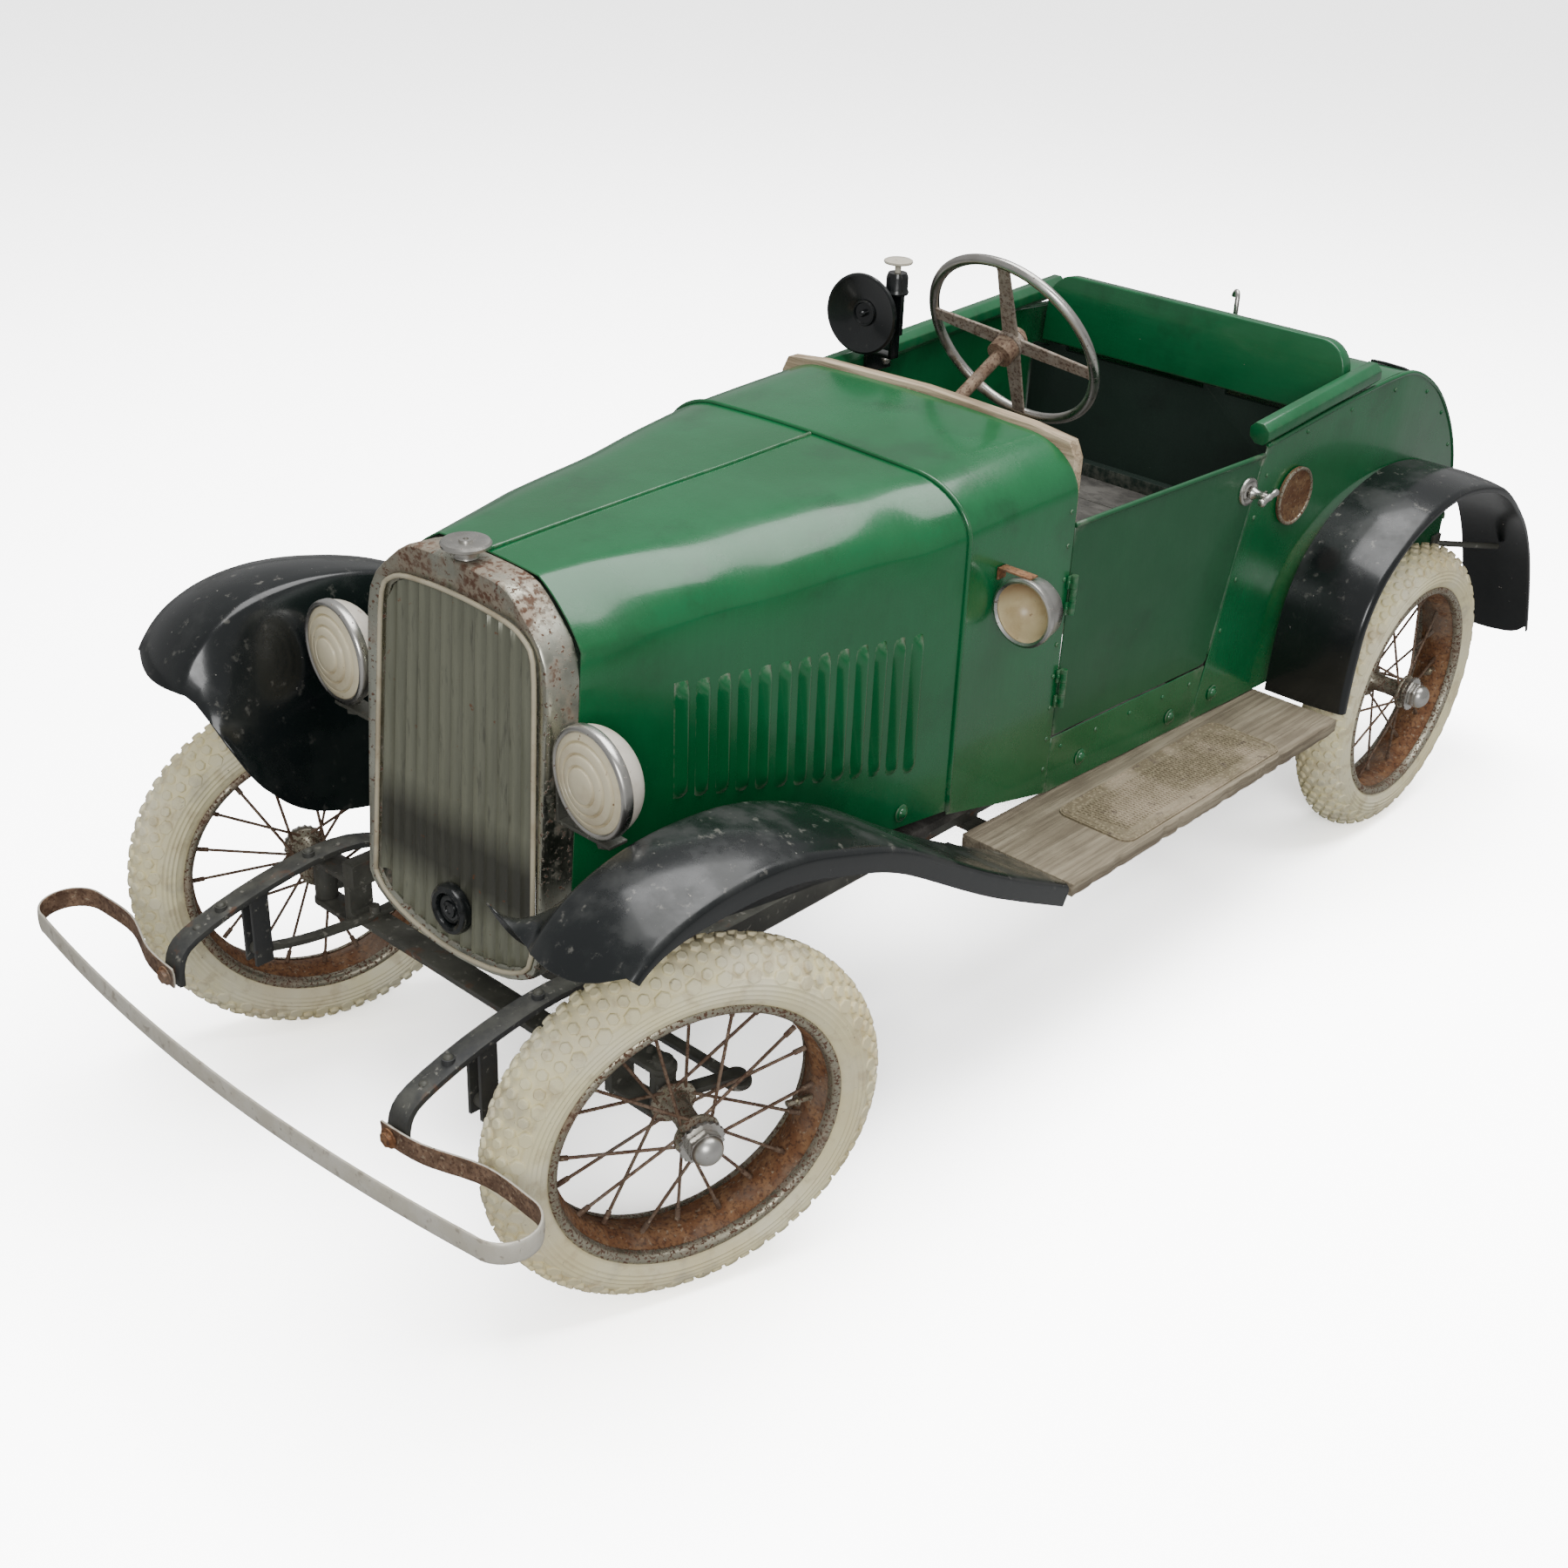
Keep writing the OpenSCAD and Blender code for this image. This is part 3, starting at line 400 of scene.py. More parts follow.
patches = mask_group("patches")
streaks = mask_group("streaks", stretch_axis=True)
spots = mask_group("spots", cells=True)
print("mask groups:", patches.name, streaks.name, spots.name)


# %% [markdown]
# ## A kit for mixing a finish
# A painter lays a base, then dulls it, chips it and lets dust settle. The class follows
# the same order: each call adds one colour, roughness or height through one mask, and the
# last call wires the result into the Principled shader.

# %% A small kit for building a finish
class Finish:
    """One material: masks, colour mixes, roughness and bump are added step by step."""

    def __init__(self, name, base, roughness, metallic=0.0, coat=0.0, specular=0.5):
        self.material = bpy.data.materials.new(name)
        self.material.use_nodes = True
        self.tree = self.material.node_tree
        self.shader = self.tree.nodes["Principled BSDF"]
        self.shader.inputs["Base Color"].default_value = (*base, 1)
        self.shader.inputs["Roughness"].default_value = roughness
        self.shader.inputs["Metallic"].default_value = metallic
        self.shader.inputs["Coat Weight"].default_value = coat
        self.shader.inputs["Coat Roughness"].default_value = 0.12
        self.shader.inputs["Specular IOR Level"].default_value = specular
        self.colour = None
        self.base = base
        self.rough = None
        self.metal = None
        self.heights = []

    def mask(self, group, scale, level, softness=0.08, seed=0.0, stretch=None):
        used = add_node(self.tree, "ShaderNodeGroup", {"node_tree": group}, Scale=scale,
                        Level=level, Softness=softness, Seed=seed)
        if stretch:
            used.inputs["Stretch"].default_value = stretch
        return used.outputs["Mask"]

    def both(self, a, b, operation="MULTIPLY"):
        mixed = add_node(self.tree, "ShaderNodeMath", {"operation": operation, "use_clamp": True})
        for socket, value in zip(mixed.inputs, (a, b)):
            if hasattr(value, "is_output"):
                wire(self.tree, value, socket)
            else:
                socket.default_value = value
        return mixed.outputs[0]

    def facing_up(self, low=0.3, high=0.95):
        """1 where the surface looks up and dust settles, 0 on walls."""
        normal = add_node(self.tree, "ShaderNodeNewGeometry").outputs["Normal"]
        split = add_node(self.tree, "ShaderNodeSeparateXYZ", Vector=normal)
        ramp = add_node(self.tree, "ShaderNodeMapRange", {}, Value=split.outputs["Z"])
        ramp.inputs["From Min"].default_value = low
        ramp.inputs["From Max"].default_value = high
        return ramp.outputs["Result"]

    def edges(self, low=0.52, high=0.6):
        """1 along convex edges, where a coat rubs through."""
        point = add_node(self.tree, "ShaderNodeNewGeometry").outputs["Pointiness"]
        ramp = add_node(self.tree, "ShaderNodeMapRange", {}, Value=point)
        ramp.inputs["From Min"].default_value = low
        ramp.inputs["From Max"].default_value = high
        return ramp.outputs["Result"]

    def height(self, low, high):
        """0 below one height of the car and 1 above another, in metres."""
        where = add_node(self.tree, "ShaderNodeTexCoord").outputs["Object"]
        split = add_node(self.tree, "ShaderNodeSeparateXYZ", Vector=where)
        ramp = add_node(self.tree, "ShaderNodeMapRange", {}, Value=split.outputs["Z"])
        ramp.inputs["From Min"].default_value = low
        ramp.inputs["From Max"].default_value = high
        return ramp.outputs["Result"]

    def tint(self, mask, colour, strength=1.0):
        """Mixes a colour in through a mask."""
        if strength < 1:
            mask = self.both(mask, strength)
        mix = add_node(self.tree, "ShaderNodeMix", {"data_type": "RGBA"})
        wire(self.tree, mask, mix.inputs["Factor"])
        if self.colour is None:
            mix.inputs[6].default_value = (*self.base, 1)
        else:
            wire(self.tree, self.colour, mix.inputs[6])
        mix.inputs[7].default_value = (*colour, 1)
        self.colour = mix.outputs[2]
        return self

    def _value(self, current, start, mask, value):
        mix = add_node(self.tree, "ShaderNodeMix", {"data_type": "FLOAT"})
        wire(self.tree, mask, mix.inputs["Factor"])
        if current is None:
            mix.inputs[2].default_value = start
        else:
            wire(self.tree, current, mix.inputs[2])
        mix.inputs[3].default_value = value
        return mix.outputs[0]

    def roughen(self, mask, value):
        start = self.shader.inputs["Roughness"].default_value
        self.rough = self._value(self.rough, start, mask, value)
        return self

    def unmetal(self, mask, value=0.0):
        start = self.shader.inputs["Metallic"].default_value
        self.metal = self._value(self.metal, start, mask, value)
        return self

    def raise_by(self, mask, millimetres):
        self.heights.append((mask, millimetres / 1000))
        return self

    def ready(self):
        if self.colour is not None:
            wire(self.tree, self.colour, self.shader.inputs["Base Color"])
        if self.rough is not None:
            wire(self.tree, self.rough, self.shader.inputs["Roughness"])
        if self.metal is not None:
            wire(self.tree, self.metal, self.shader.inputs["Metallic"])
        normal = None
        for mask, height in self.heights:
            bump = add_node(self.tree, "ShaderNodeBump", {"invert": height < 0}, Height=mask)
            bump.inputs["Distance"].default_value = abs(height)
            bump.inputs["Strength"].default_value = 1.0
            if normal is not None:
                wire(self.tree, normal, bump.inputs["Normal"])
            normal = bump.outputs["Normal"]
        if normal is not None:
            wire(self.tree, normal, self.shader.inputs["Normal"])
        return self.material


print("a finish can", [step for step in vars(Finish) if not step.startswith("_")])

# %% [markdown]
# ## The finishes
# The body is brush-painted in a glossy mid green that has faded, dulled and chipped. The
# fenders are gloss black with dust and pale chips. The plated pieces have lost their
# shine in patches, and rust has come through as specks. The boards are grey, weathered
# wood, and the tyres are aged cream rubber with dirt in the tread.

# %% Paints
RUST = (0.17, 0.065, 0.025)
DARK_RUST = (0.07, 0.03, 0.016)
DUST = (0.36, 0.33, 0.28)


def brushed_paint(name, base, light, dark, coat=0.25, roughness=0.24, brush=(26, 26, 2.5)):
    f = Finish(name, base, roughness, coat=coat)
    f.tint(f.mask(patches, 5.0, 0.52, 0.14, 1.0), light, 0.55)
    f.tint(f.mask(patches, 11.0, 0.60, 0.08, 4.0), dark, 0.5)
    brush_marks = f.mask(streaks, 9.0, 0.5, 0.25, 2.0, brush)
    f.tint(brush_marks, dark, 0.12)
    chips = f.mask(patches, 150.0, 0.735, 0.012, 7.0)
    f.tint(chips, DUST, 0.8)
    f.tint(f.both(f.edges(0.55, 0.64), f.mask(patches, 90.0, 0.5, 0.1, 3.0)), DUST, 0.7)
    f.roughen(f.mask(patches, 8.0, 0.5, 0.2, 9.0), roughness + 0.16)
    f.roughen(chips, 0.8)
    f.raise_by(brush_marks, 0.05)
    f.raise_by(f.mask(patches, 12.0, 0.5, 0.45, 5.0), 0.16)
    f.raise_by(chips, -0.15)
    return f.ready()


green = brushed_paint("green_paint", (0.0008, 0.104, 0.027), (0.004, 0.165, 0.053), (0.0006, 0.058, 0.016),
                      coat=0.5, roughness=0.2)
door_green = brushed_paint("door_green", (0.003, 0.080, 0.024), (0.010, 0.112, 0.038),
                           (0.002, 0.050, 0.016), coat=0.15, roughness=0.36)
wood_green = brushed_paint("painted_wood", (0.001, 0.092, 0.026), (0.006, 0.150, 0.052),
                           (0.0008, 0.052, 0.015), coat=0.4, roughness=0.26, brush=(2.5, 30, 30))
dark_green = brushed_paint("dark_inside", (0.004, 0.014, 0.009), (0.008, 0.026, 0.016),
                           (0.002, 0.006, 0.004), coat=0.0, roughness=0.6)


def dusty_black(name):
    f = Finish(name, (0.0045, 0.0065, 0.0070), 0.24, coat=0.3)
    up = f.facing_up(0.1, 0.9)
    dust = f.both(f.mask(patches, 16.0, 0.56, 0.10, 2.0), up)
    f.tint(dust, (0.05, 0.052, 0.048), 0.4)
    f.tint(f.both(f.mask(patches, 90.0, 0.64, 0.05, 8.0), up), (0.26, 0.25, 0.22), 0.45)
    chips = f.mask(patches, 150.0, 0.70, 0.012, 5.0)
    f.tint(chips, (0.42, 0.40, 0.36))
    f.tint(f.mask(patches, 40.0, 0.735, 0.02, 12.0), RUST, 0.6)
    f.roughen(dust, 0.6)
    f.roughen(chips, 0.85)
    f.raise_by(f.mask(patches, 10.0, 0.5, 0.4, 6.0), 0.3)
    f.raise_by(chips, -0.2)
    return f.ready()


black = dusty_black("black_paint")
horn_black = dusty_black("horn_black")


def chassis_paint(name, base=(0.085, 0.085, 0.07)):
    f = Finish(name, base, 0.5)
    f.tint(f.mask(patches, 18.0, 0.5, 0.14, 3.0), (0.045, 0.045, 0.038), 0.8)
    rust = f.mask(patches, 45.0, 0.63, 0.05, 6.0)
    f.tint(rust, RUST, 0.55)
    f.tint(f.both(f.mask(patches, 30.0, 0.5, 0.15, 4.0), f.facing_up(0.2, 0.9)), (0.15, 0.15, 0.125), 0.6)
    f.tint(f.mask(patches, 120.0, 0.62, 0.03, 8.0), (0.30, 0.29, 0.25), 0.6)
    f.roughen(rust, 0.85)
    f.raise_by(f.mask(patches, 70.0, 0.5, 0.3, 1.0), 0.2)
    return f.ready()


grey = chassis_paint("grey_steel")
iron = chassis_paint("dark_iron", (0.035, 0.037, 0.038))

print("paints:", green.name, door_green.name, wood_green.name, dark_green.name, black.name, grey.name)

# %% [markdown]
# ### Plating and rust
# Nickel plating dulls first in soft patches. Then rust comes through as fine specks, and
# where water has stood it becomes a bloom with pits. Bare steel goes brown all over.

# %% Plating, rust and wire
def plating(name, base, rust_level, roughness=0.22, specks=230.0, top=None):
    f = Finish(name, base, roughness, metallic=1.0)
    f.tint(f.mask(patches, 9.0, 0.52, 0.15, 2.0), (base[0] * 0.66, base[1] * 0.64, base[2] * 0.6), 0.8)
    bloom = f.mask(patches, 26.0, rust_level + 0.03, 0.08, 8.0)
    if top:
        high = f.height(*top)
        bloom = f.both(bloom, f.both(high, f.mask(patches, 22.0, 0.46, 0.12, 12.0)), "MAXIMUM")
    speck = f.both(f.mask(patches, specks, rust_level - 0.01, 0.03, 5.0),
                   f.both(bloom, f.mask(patches, 170.0, 0.52, 0.06, 3.0)), "MAXIMUM")
    f.tint(bloom, (0.26, 0.17, 0.11), 0.65)
    f.tint(speck, (0.11, 0.055, 0.032))
    f.unmetal(bloom, 0.35)
    f.unmetal(speck, 0.0)
    f.roughen(f.mask(patches, 30.0, 0.5, 0.2, 3.0), roughness + 0.2)
    f.roughen(bloom, 0.6)
    f.roughen(speck, 0.9)
    f.raise_by(speck, 0.12)
    f.raise_by(f.mask(patches, 20.0, 0.5, 0.4, 6.0), 0.12)
    return f.ready()


def cream_plate(name):
    """Plating gone dull and chalky, with rust specks: it no longer mirrors."""
    f = Finish(name, (0.62, 0.58, 0.48), 0.42, metallic=0.35)
    f.tint(f.mask(patches, 40.0, 0.52, 0.12, 2.0), (0.74, 0.71, 0.63), 0.7)
    f.tint(f.mask(patches, 100.0, 0.60, 0.05, 5.0), (0.34, 0.29, 0.22), 0.7)
    f.tint(f.mask(patches, 190.0, 0.66, 0.03, 8.0), DARK_RUST, 0.8)
    f.roughen(f.mask(patches, 30.0, 0.5, 0.2, 3.0), 0.6)
    f.raise_by(f.mask(patches, 120.0, 0.5, 0.3, 1.0), 0.12)
    return f.ready()


shell_plate = plating("shell_plate", (0.54, 0.55, 0.47), 0.60, top=(0.475, 0.50))
bright_plate = plating("bright_plate", (0.62, 0.61, 0.58), 0.66, 0.2)
rim_plate = plating("rim_plate", (0.50, 0.47, 0.37), 0.55, 0.32, 420.0)
blade_plate = cream_plate("blade_plate")


def rusted(name, base, light):
    f = Finish(name, base, 0.78, metallic=0.15)
    f.tint(f.mask(patches, 70.0, 0.52, 0.12, 2.0), light, 0.85)
    f.tint(f.mask(patches, 330.0, 0.55, 0.07, 4.0), DARK_RUST, 0.75)
    f.tint(f.mask(patches, 260.0, 0.62, 0.04, 6.0), (0.46, 0.37, 0.26), 0.6)
    f.tint(f.mask(patches, 12.0, 0.60, 0.08, 9.0), (0.28, 0.25, 0.21), 0.45)
    f.raise_by(f.mask(patches, 160.0, 0.5, 0.3, 1.0), 0.25)
    return f.ready()


rim_rust = rusted("rim_rust", (0.20, 0.085, 0.035), (0.34, 0.18, 0.085))
arm_steel = rusted("arm_steel", (0.27, 0.22, 0.175), (0.36, 0.32, 0.27))
blade_rust = rusted("blade_rust", (0.13, 0.075, 0.045), (0.30, 0.19, 0.12))
spoke_rust = rusted("spoke_rust", (0.13, 0.075, 0.045), (0.24, 0.17, 0.12))
column_rust = rusted("column_rust", (0.20, 0.13, 0.085), (0.36, 0.27, 0.19))

print("plating:", shell_plate.name, bright_plate.name, rim_plate.name, blade_plate.name)

# %% [markdown]
# ### Wood, rubber and cream paint
# Weathered wood shows its grain twice, as soft pale bands and as fine dark lines, so two
# streak masks of different scale make it. Rubber and cream paint only stain and crack.

# %% Wood, rubber, cream and lenses
def weathered_wood(name, base, light, dark, along=(2.2, 0.10, 2.2), grain=30.0):
    f = Finish(name, base, 0.82)
    grain_mask = f.mask(streaks, grain, 0.5, 0.16, 1.0, along)
    fine = f.mask(streaks, grain * 3.2, 0.52, 0.10, 4.0, along)
    f.tint(grain_mask, light, 0.8)
    f.tint(fine, dark, 0.55)
    f.tint(f.mask(patches, 9.0, 0.58, 0.10, 6.0), dark, 0.45)
    f.tint(f.mask(patches, 40.0, 0.66, 0.04, 8.0), light, 0.6)
    f.raise_by(grain_mask, 0.5)
    f.raise_by(fine, -0.35)
    return f.ready()


board_grey = weathered_wood("board_grey", (0.27, 0.225, 0.155), (0.42, 0.36, 0.26), (0.11, 0.085, 0.055))
bare = weathered_wood("bare_wood", (0.42, 0.31, 0.19), (0.60, 0.50, 0.36), (0.14, 0.09, 0.05),
                      along=(0.10, 2.2, 2.2))
seat_grey = weathered_wood("seat_grey", (0.055, 0.052, 0.046), (0.16, 0.15, 0.135), (0.016, 0.015, 0.013),
                           along=(0.5, 0.8, 1.0), grain=26.0)


def cream_rubber():
    f = Finish("cream_rubber", (0.86, 0.79, 0.49), 0.62)
    f.tint(f.mask(patches, 14.0, 0.52, 0.14, 2.0), (0.90, 0.85, 0.66), 0.7)
    dirt = f.mask(patches, 48.0, 0.57, 0.07, 5.0)
    f.tint(dirt, (0.50, 0.41, 0.25), 0.5)
    f.tint(f.mask(patches, 6.0, 0.56, 0.12, 8.0), (0.66, 0.52, 0.28), 0.4)
    f.tint(f.mask(patches, 150.0, 0.68, 0.03, 9.0), (0.16, 0.13, 0.10), 0.7)
    f.tint(f.both(f.mask(patches, 20.0, 0.62, 0.06, 11.0), 0.5), (0.44, 0.40, 0.32))
    f.raise_by(f.mask(patches, 55.0, 0.5, 0.35, 3.0), 0.3)
    return f.ready()


def pressed_mat():
    f = Finish("pressed_mat", (0.31, 0.26, 0.165), 0.85)
    nubs = f.mask(spots, 260.0, 0.35, 0.25)
    f.tint(nubs, (0.13, 0.102, 0.06), 0.7)
    f.tint(f.mask(patches, 18.0, 0.54, 0.12, 3.0), (0.44, 0.36, 0.26), 0.7)
    f.tint(f.mask(patches, 70.0, 0.62, 0.05, 7.0), (0.12, 0.09, 0.07), 0.7)
    f.raise_by(nubs, -0.6)
    return f.ready()


def cream_paint(name, base, stain, roughness=0.45, stained_above=None):
    f = Finish(name, base, roughness)
    if stained_above:
        f.tint(f.height(*stained_above), (0.20, 0.085, 0.035), 0.85)
    f.tint(f.mask(patches, 30.0, 0.56, 0.10, 2.0), stain, 0.5)
    f.tint(f.mask(patches, 130.0, 0.67, 0.03, 5.0), RUST, 0.8)
    f.raise_by(f.mask(patches, 60.0, 0.5, 0.3, 3.0), 0.1)
    return f.ready()


tyre_cream = cream_rubber()
mat_tan = pressed_mat()
bead_cream = cream_paint("bead_cream", (0.52, 0.47, 0.34), (0.30, 0.23, 0.14), 0.3)
lamp_white = cream_paint("lamp_white", (0.64, 0.60, 0.52), (0.40, 0.33, 0.24), 0.4)
lens_cream = cream_paint("lens_cream", (0.72, 0.65, 0.46), (0.52, 0.42, 0.27), 0.26)
bowl_cream = cream_paint("bowl_cream", (0.68, 0.58, 0.35), (0.42, 0.28, 0.13), 0.3,
                         stained_above=(0.419, 0.438))
ivory = cream_paint("ivory", (0.66, 0.62, 0.52), (0.40, 0.35, 0.26), 0.35)


def fluted_grey():
    f = Finish("fluted_grey", (0.165, 0.17, 0.125), 0.36, metallic=0.3)
    f.tint(f.mask(streaks, 12.0, 0.5, 0.2, 1.0, (9, 9, 0.5)), (0.24, 0.245, 0.185), 0.6)
    f.tint(f.mask(streaks, 26.0, 0.62, 0.08, 4.0, (9, 9, 0.9)), (0.07, 0.07, 0.055), 0.6)
    wet = f.both(f.height(0.232, 0.262), f.both(1.0, f.height(0.292, 0.325), "SUBTRACT"))
    f.tint(wet, (0.03, 0.03, 0.026), 0.8)
    f.tint(f.mask(patches, 110.0, 0.67, 0.03, 8.0), RUST, 0.8)
    f.raise_by(f.mask(patches, 40.0, 0.5, 0.3, 2.0), 0.1)
    return f.ready()


grille_grey = fluted_grey()
dish_rust = rusted("dish_rust", (0.13, 0.06, 0.025), (0.22, 0.13, 0.06))
print(len(bpy.data.materials), "materials")

# %% [markdown]
# ## Floor, light and camera
# The car stands on a pale floor that runs out to white. The floor is grey for the light
# that it sends back to the car and bright only where the camera looks at it, so that it
# doesn't wash out the paint. One large soft lamp overhead and one from the front left
# give long, smooth highlights. The camera looks down from the car's front left.

# %% Stage
FLOOR_SIZE = 40
FLOOR_SEEN = (7.0, 7.0, 7.0)
FLOOR_LIT = (0.36, 0.36, 0.36)
SKY_STRENGTH = 0.42
deselect()
bpy.ops.mesh.primitive_plane_add(size=FLOOR_SIZE, location=(0, 0, 0))
floor = named("floor")
pale = Finish("pale_floor", FLOOR_LIT, 0.9, specular=0.0)
seen_first = add_node(pale.tree, "ShaderNodeLightPath").outputs["Is Camera Ray"]
pale.tint(seen_first, FLOOR_SEEN)
floor.data.materials.append(pale.ready())

world = bpy.context.scene.world or bpy.data.worlds.new("studio")
bpy.context.scene.world = world
world.use_nodes = True
world.node_tree.nodes["Background"].inputs["Color"].default_value = (1, 1, 1, 1)
world.node_tree.nodes["Background"].inputs["Strength"].default_value = SKY_STRENGTH


def soft_lamp(name, location, target, size, power):
    aim = (Vector(target) - Vector(location)).to_track_quat("-Z", "Y").to_euler()
    bpy.ops.object.light_add(type="AREA", location=location, rotation=aim)
    lamp = bpy.context.object
    lamp.name = name
    lamp.data.size = size
    lamp.data.energy = power


soft_lamp("overhead", (0.2, 0.4, 3.0), (0, 0, 0.3), 2.6, 110)
soft_lamp("front_left", (2.2, -2.6, 1.8), (0, -0.1, 0.35), 1.2, 52)

LENS = 46.2
CAMERA_AT = place(1070.9, -1381.7, 1081.6)
CAMERA_TURN = [math.radians(a) for a in (61.394, -2.196, 42.641)]
bpy.ops.object.camera_add(location=CAMERA_AT, rotation=CAMERA_TURN)
camera = bpy.context.object
camera.data.lens = LENS
bpy.context.scene.camera = camera
print("camera at", [round(v, 3) for v in CAMERA_AT])

# %% [markdown]
# ## The body's lines
# In plan the body widens from the radiator to the door and narrows again at the tail.
# Its cross-section starts as a chamfered box at the radiator and grows rounder towards
# the cowl. The same few tables place every panel, bead and rivet.

# %% Tables and sections
PLAN = [(-528, 104), (-152, 173), (-8, 177), (283, 192), (532, 203), (706, 197)]
TAIL_EDGE = spline([(283, 470), (400, 484), (500, 493), (552, 490), (612, 462),
                    (657, 423), (689, 380), (704, 340), (706, 290)])
RADIATOR_LEAN = 3.7
RADIATOR_FOOT = 228
RADIATOR_FRONT = -556
NOSE_LEAN = math.tan(math.radians(RADIATOR_LEAN))
BOARD_TOP = 200
PANEL_FOOT = BOARD_TOP + 0.8


def along(rows, s):
    """Straight-line values between rows of (station, value, value, ...)."""
    for a, b in zip(rows, rows[1:]):
        if s <= b[0]:
            break
    t = min(max((s - a[0]) / (b[0] - a[0]), 0), 1)
    return [p + (q - p) * t for p, q in zip(a[1:], b[1:])]


def body_x(y):
    return along(PLAN, y)[0]


def at(x, y, z, rx=0, ry=0, rz=0):
    """A matrix that turns by degrees about X, then Y, then Z, and moves to a car station."""
    turn = Matrix.Rotation(math.radians(rz), 4, "Z") @ Matrix.Rotation(math.radians(ry), 4, "Y")
    return Matrix.Translation(place(x, y, z)) @ turn @ Matrix.Rotation(math.radians(rx), 4, "X")


SIDES = {"left": 1, "right": -1}
BONNET = [(-525.4, 104, 521, 236, 48, 44, 0.35), (-400, 127.5, 525, 236, 54, 44, 0.75),
          (-280, 149.5, 528, 236, 58, 45, 0.85), (-152.3, 173, 531, 236, 64, 46, 1.0)]
SCUTTLE = [(-151.7, 173, 531, 232, 64, 46, 1.0), (-80, 175, 534, 216, 64, 46, 1.0),
           (-8, 177, 536, PANEL_FOOT, 62, 46, 1.0)]
DENTS = [((118, -335, 508), 46, 2.6), ((150, -196, 500), 34, 3.2), ((92, -478, 506), 26, 2.2),
         ((30, -250, 530), 60, 1.6), ((-60, -380, 527), 70, 1.2), ((-120, -300, 505), 50, 1.8),
         ((105, -255, 522), 28, -1.4), ((70, -120, 532), 55, 1.2), ((176, -70, 350), 60, 1.0)]


def section(y, w, top, low, corner_w, corner_h, rounding, grow=0.0):
    """Points up the left side, over the top and down the right, in car stations."""
    crown = 7
    shoulder = top - crown * ((w - corner_w) / w) ** 2
    half = [(w, low + (shoulder - corner_h - low) * k / 8) for k in range(8)]
    for k in range(13):
        t = k / 12
        across = t + rounding * (1 - math.cos(math.pi / 2 * t) - t)
        up = t + rounding * (math.sin(math.pi / 2 * t) - t)
        half.append((w - corner_w * across, shoulder - corner_h * (1 - up)))
    for k in range(1, 10):
        x = (w - corner_w) * (1 - k / 10)
        half.append((x, top - crown * (x / w) ** 2))
    outline = half + [(0, top)] + [(-x, z) for x, z in reversed(half)]
    points = []
    for x, z in outline:
        lean = (z - RADIATOR_FOOT) * NOSE_LEAN * min(max((-400 - y) / 125.4, 0), 1)
        points.append([x, y + lean, z])
    for centre, size, depth in DENTS:
        for p in points:
            gap = sum((a - b) ** 2 for a, b in zip(p, centre))
            push = depth * math.exp(-gap / size ** 2)
            p[0] -= math.copysign(push, p[0]) * (0.3 if p[2] > shoulder else 0.9)
            p[2] -= push * (0.9 if p[2] > shoulder - corner_h else 0)
    if grow:
        for p in points:
            p[2] += grow if p[2] > shoulder - corner_h else 0
            p[0] += math.copysign(grow, p[0]) * (1 if p[2] < shoulder else 0.2)
    return points


def sections(table, count):
    first, last = table[0][0], table[-1][0]
    stations = [first + (last - first) * k / (count - 1) for k in range(count)]
    return [[place(*p) for p in section(y, *along(table, y))] for y in stations]


print("body is", 2 * body_x(REAR_Y), "mm wide at the rear axle")


# %% [markdown]
# ### Bonnet and scuttle
# Both are one pressed sheet bent over the top, so each is a blanket through a row of
# sections, with shallow dents pushed in. Half-round beads cover the joint and the hinge.

# %% Bonnet, scuttle and beads
bonnet = sheet_metal("bonnet_sheet", sections(BONNET, 44), flip=True)
done(bonnet, green, "bonnet")
scuttle = sheet_metal("scuttle_sheet", sections(SCUTTLE, 16), flip=True)
done(scuttle, green, "scuttle")
cowl = section(-152, *along(BONNET, -152), grow=0.6)
cowl_bead = tube("cowl_bead", [place(*p) for p in cowl], 2.3, 10, up=Vector((0, 1, 0)))
crown_line = []
for k in range(24):
    y = -505 + 350 * k / 23
    top_point = min(section(y, *along(BONNET, y)), key=lambda p: abs(p[0]))
    crown_line.append(place(0, y, top_point[2] + 0.3))
hinge_bead = tube("hinge_bead", crown_line, 1.9, 8)
beads = joined("bonnet_beads", [cowl_bead, hinge_bead])
done(beads, green, "body_beads")
print("bonnet", len(bonnet.data.polygons), "faces")

# %% [markdown]
# The louvres are pressed out of the bonnet's sides: each rises gently from the front and
# ends in an abrupt lip at the rear. The rivets and bolts are low domes.

# %% Louvres, rivets and bolts
LOUVRES = 13
CREST = 0.72
def louvre(name, side, y, low, top):
    """One pressed louvre: its sheet starts just under the bonnet's surface."""
    rows = []
    for i in range(15):
        v = i / 14
        fade = min(v / 0.09, (1 - v) / 0.09, 1)
        row = []
        for j in range(9):
            u = j / 8
            if u < CREST:
                lift = math.sin(u / CREST * math.pi / 2)
            else:
                lift = math.cos((u - CREST) / (1 - CREST) * math.pi / 2)
            out = -0.7 + 5.4 * max(lift, 0) * math.sin(fade * math.pi / 2)
            where = y - 6 + 12 * u
            row.append(place(side * (body_x(where) + out), where, low + (top - low) * v))
        rows.append(row)
    return blanket(name, rows, flip=side < 0)


louvres = []
for side in SIDES.values():
    for i in range(LOUVRES):
        y = -427 + 227 / 12 * i
        louvres.append(louvre("louvre", side, y, 333 - 47 * i / 12, 432 - 16 * i / 12))
pressed = joined("louvre_pressings", louvres)
modify(pressed, "SOLIDIFY", thickness=0.0008, offset=-1)
done(smooth(pressed, 60), green, "louvres")


print(len(louvres), "louvres")


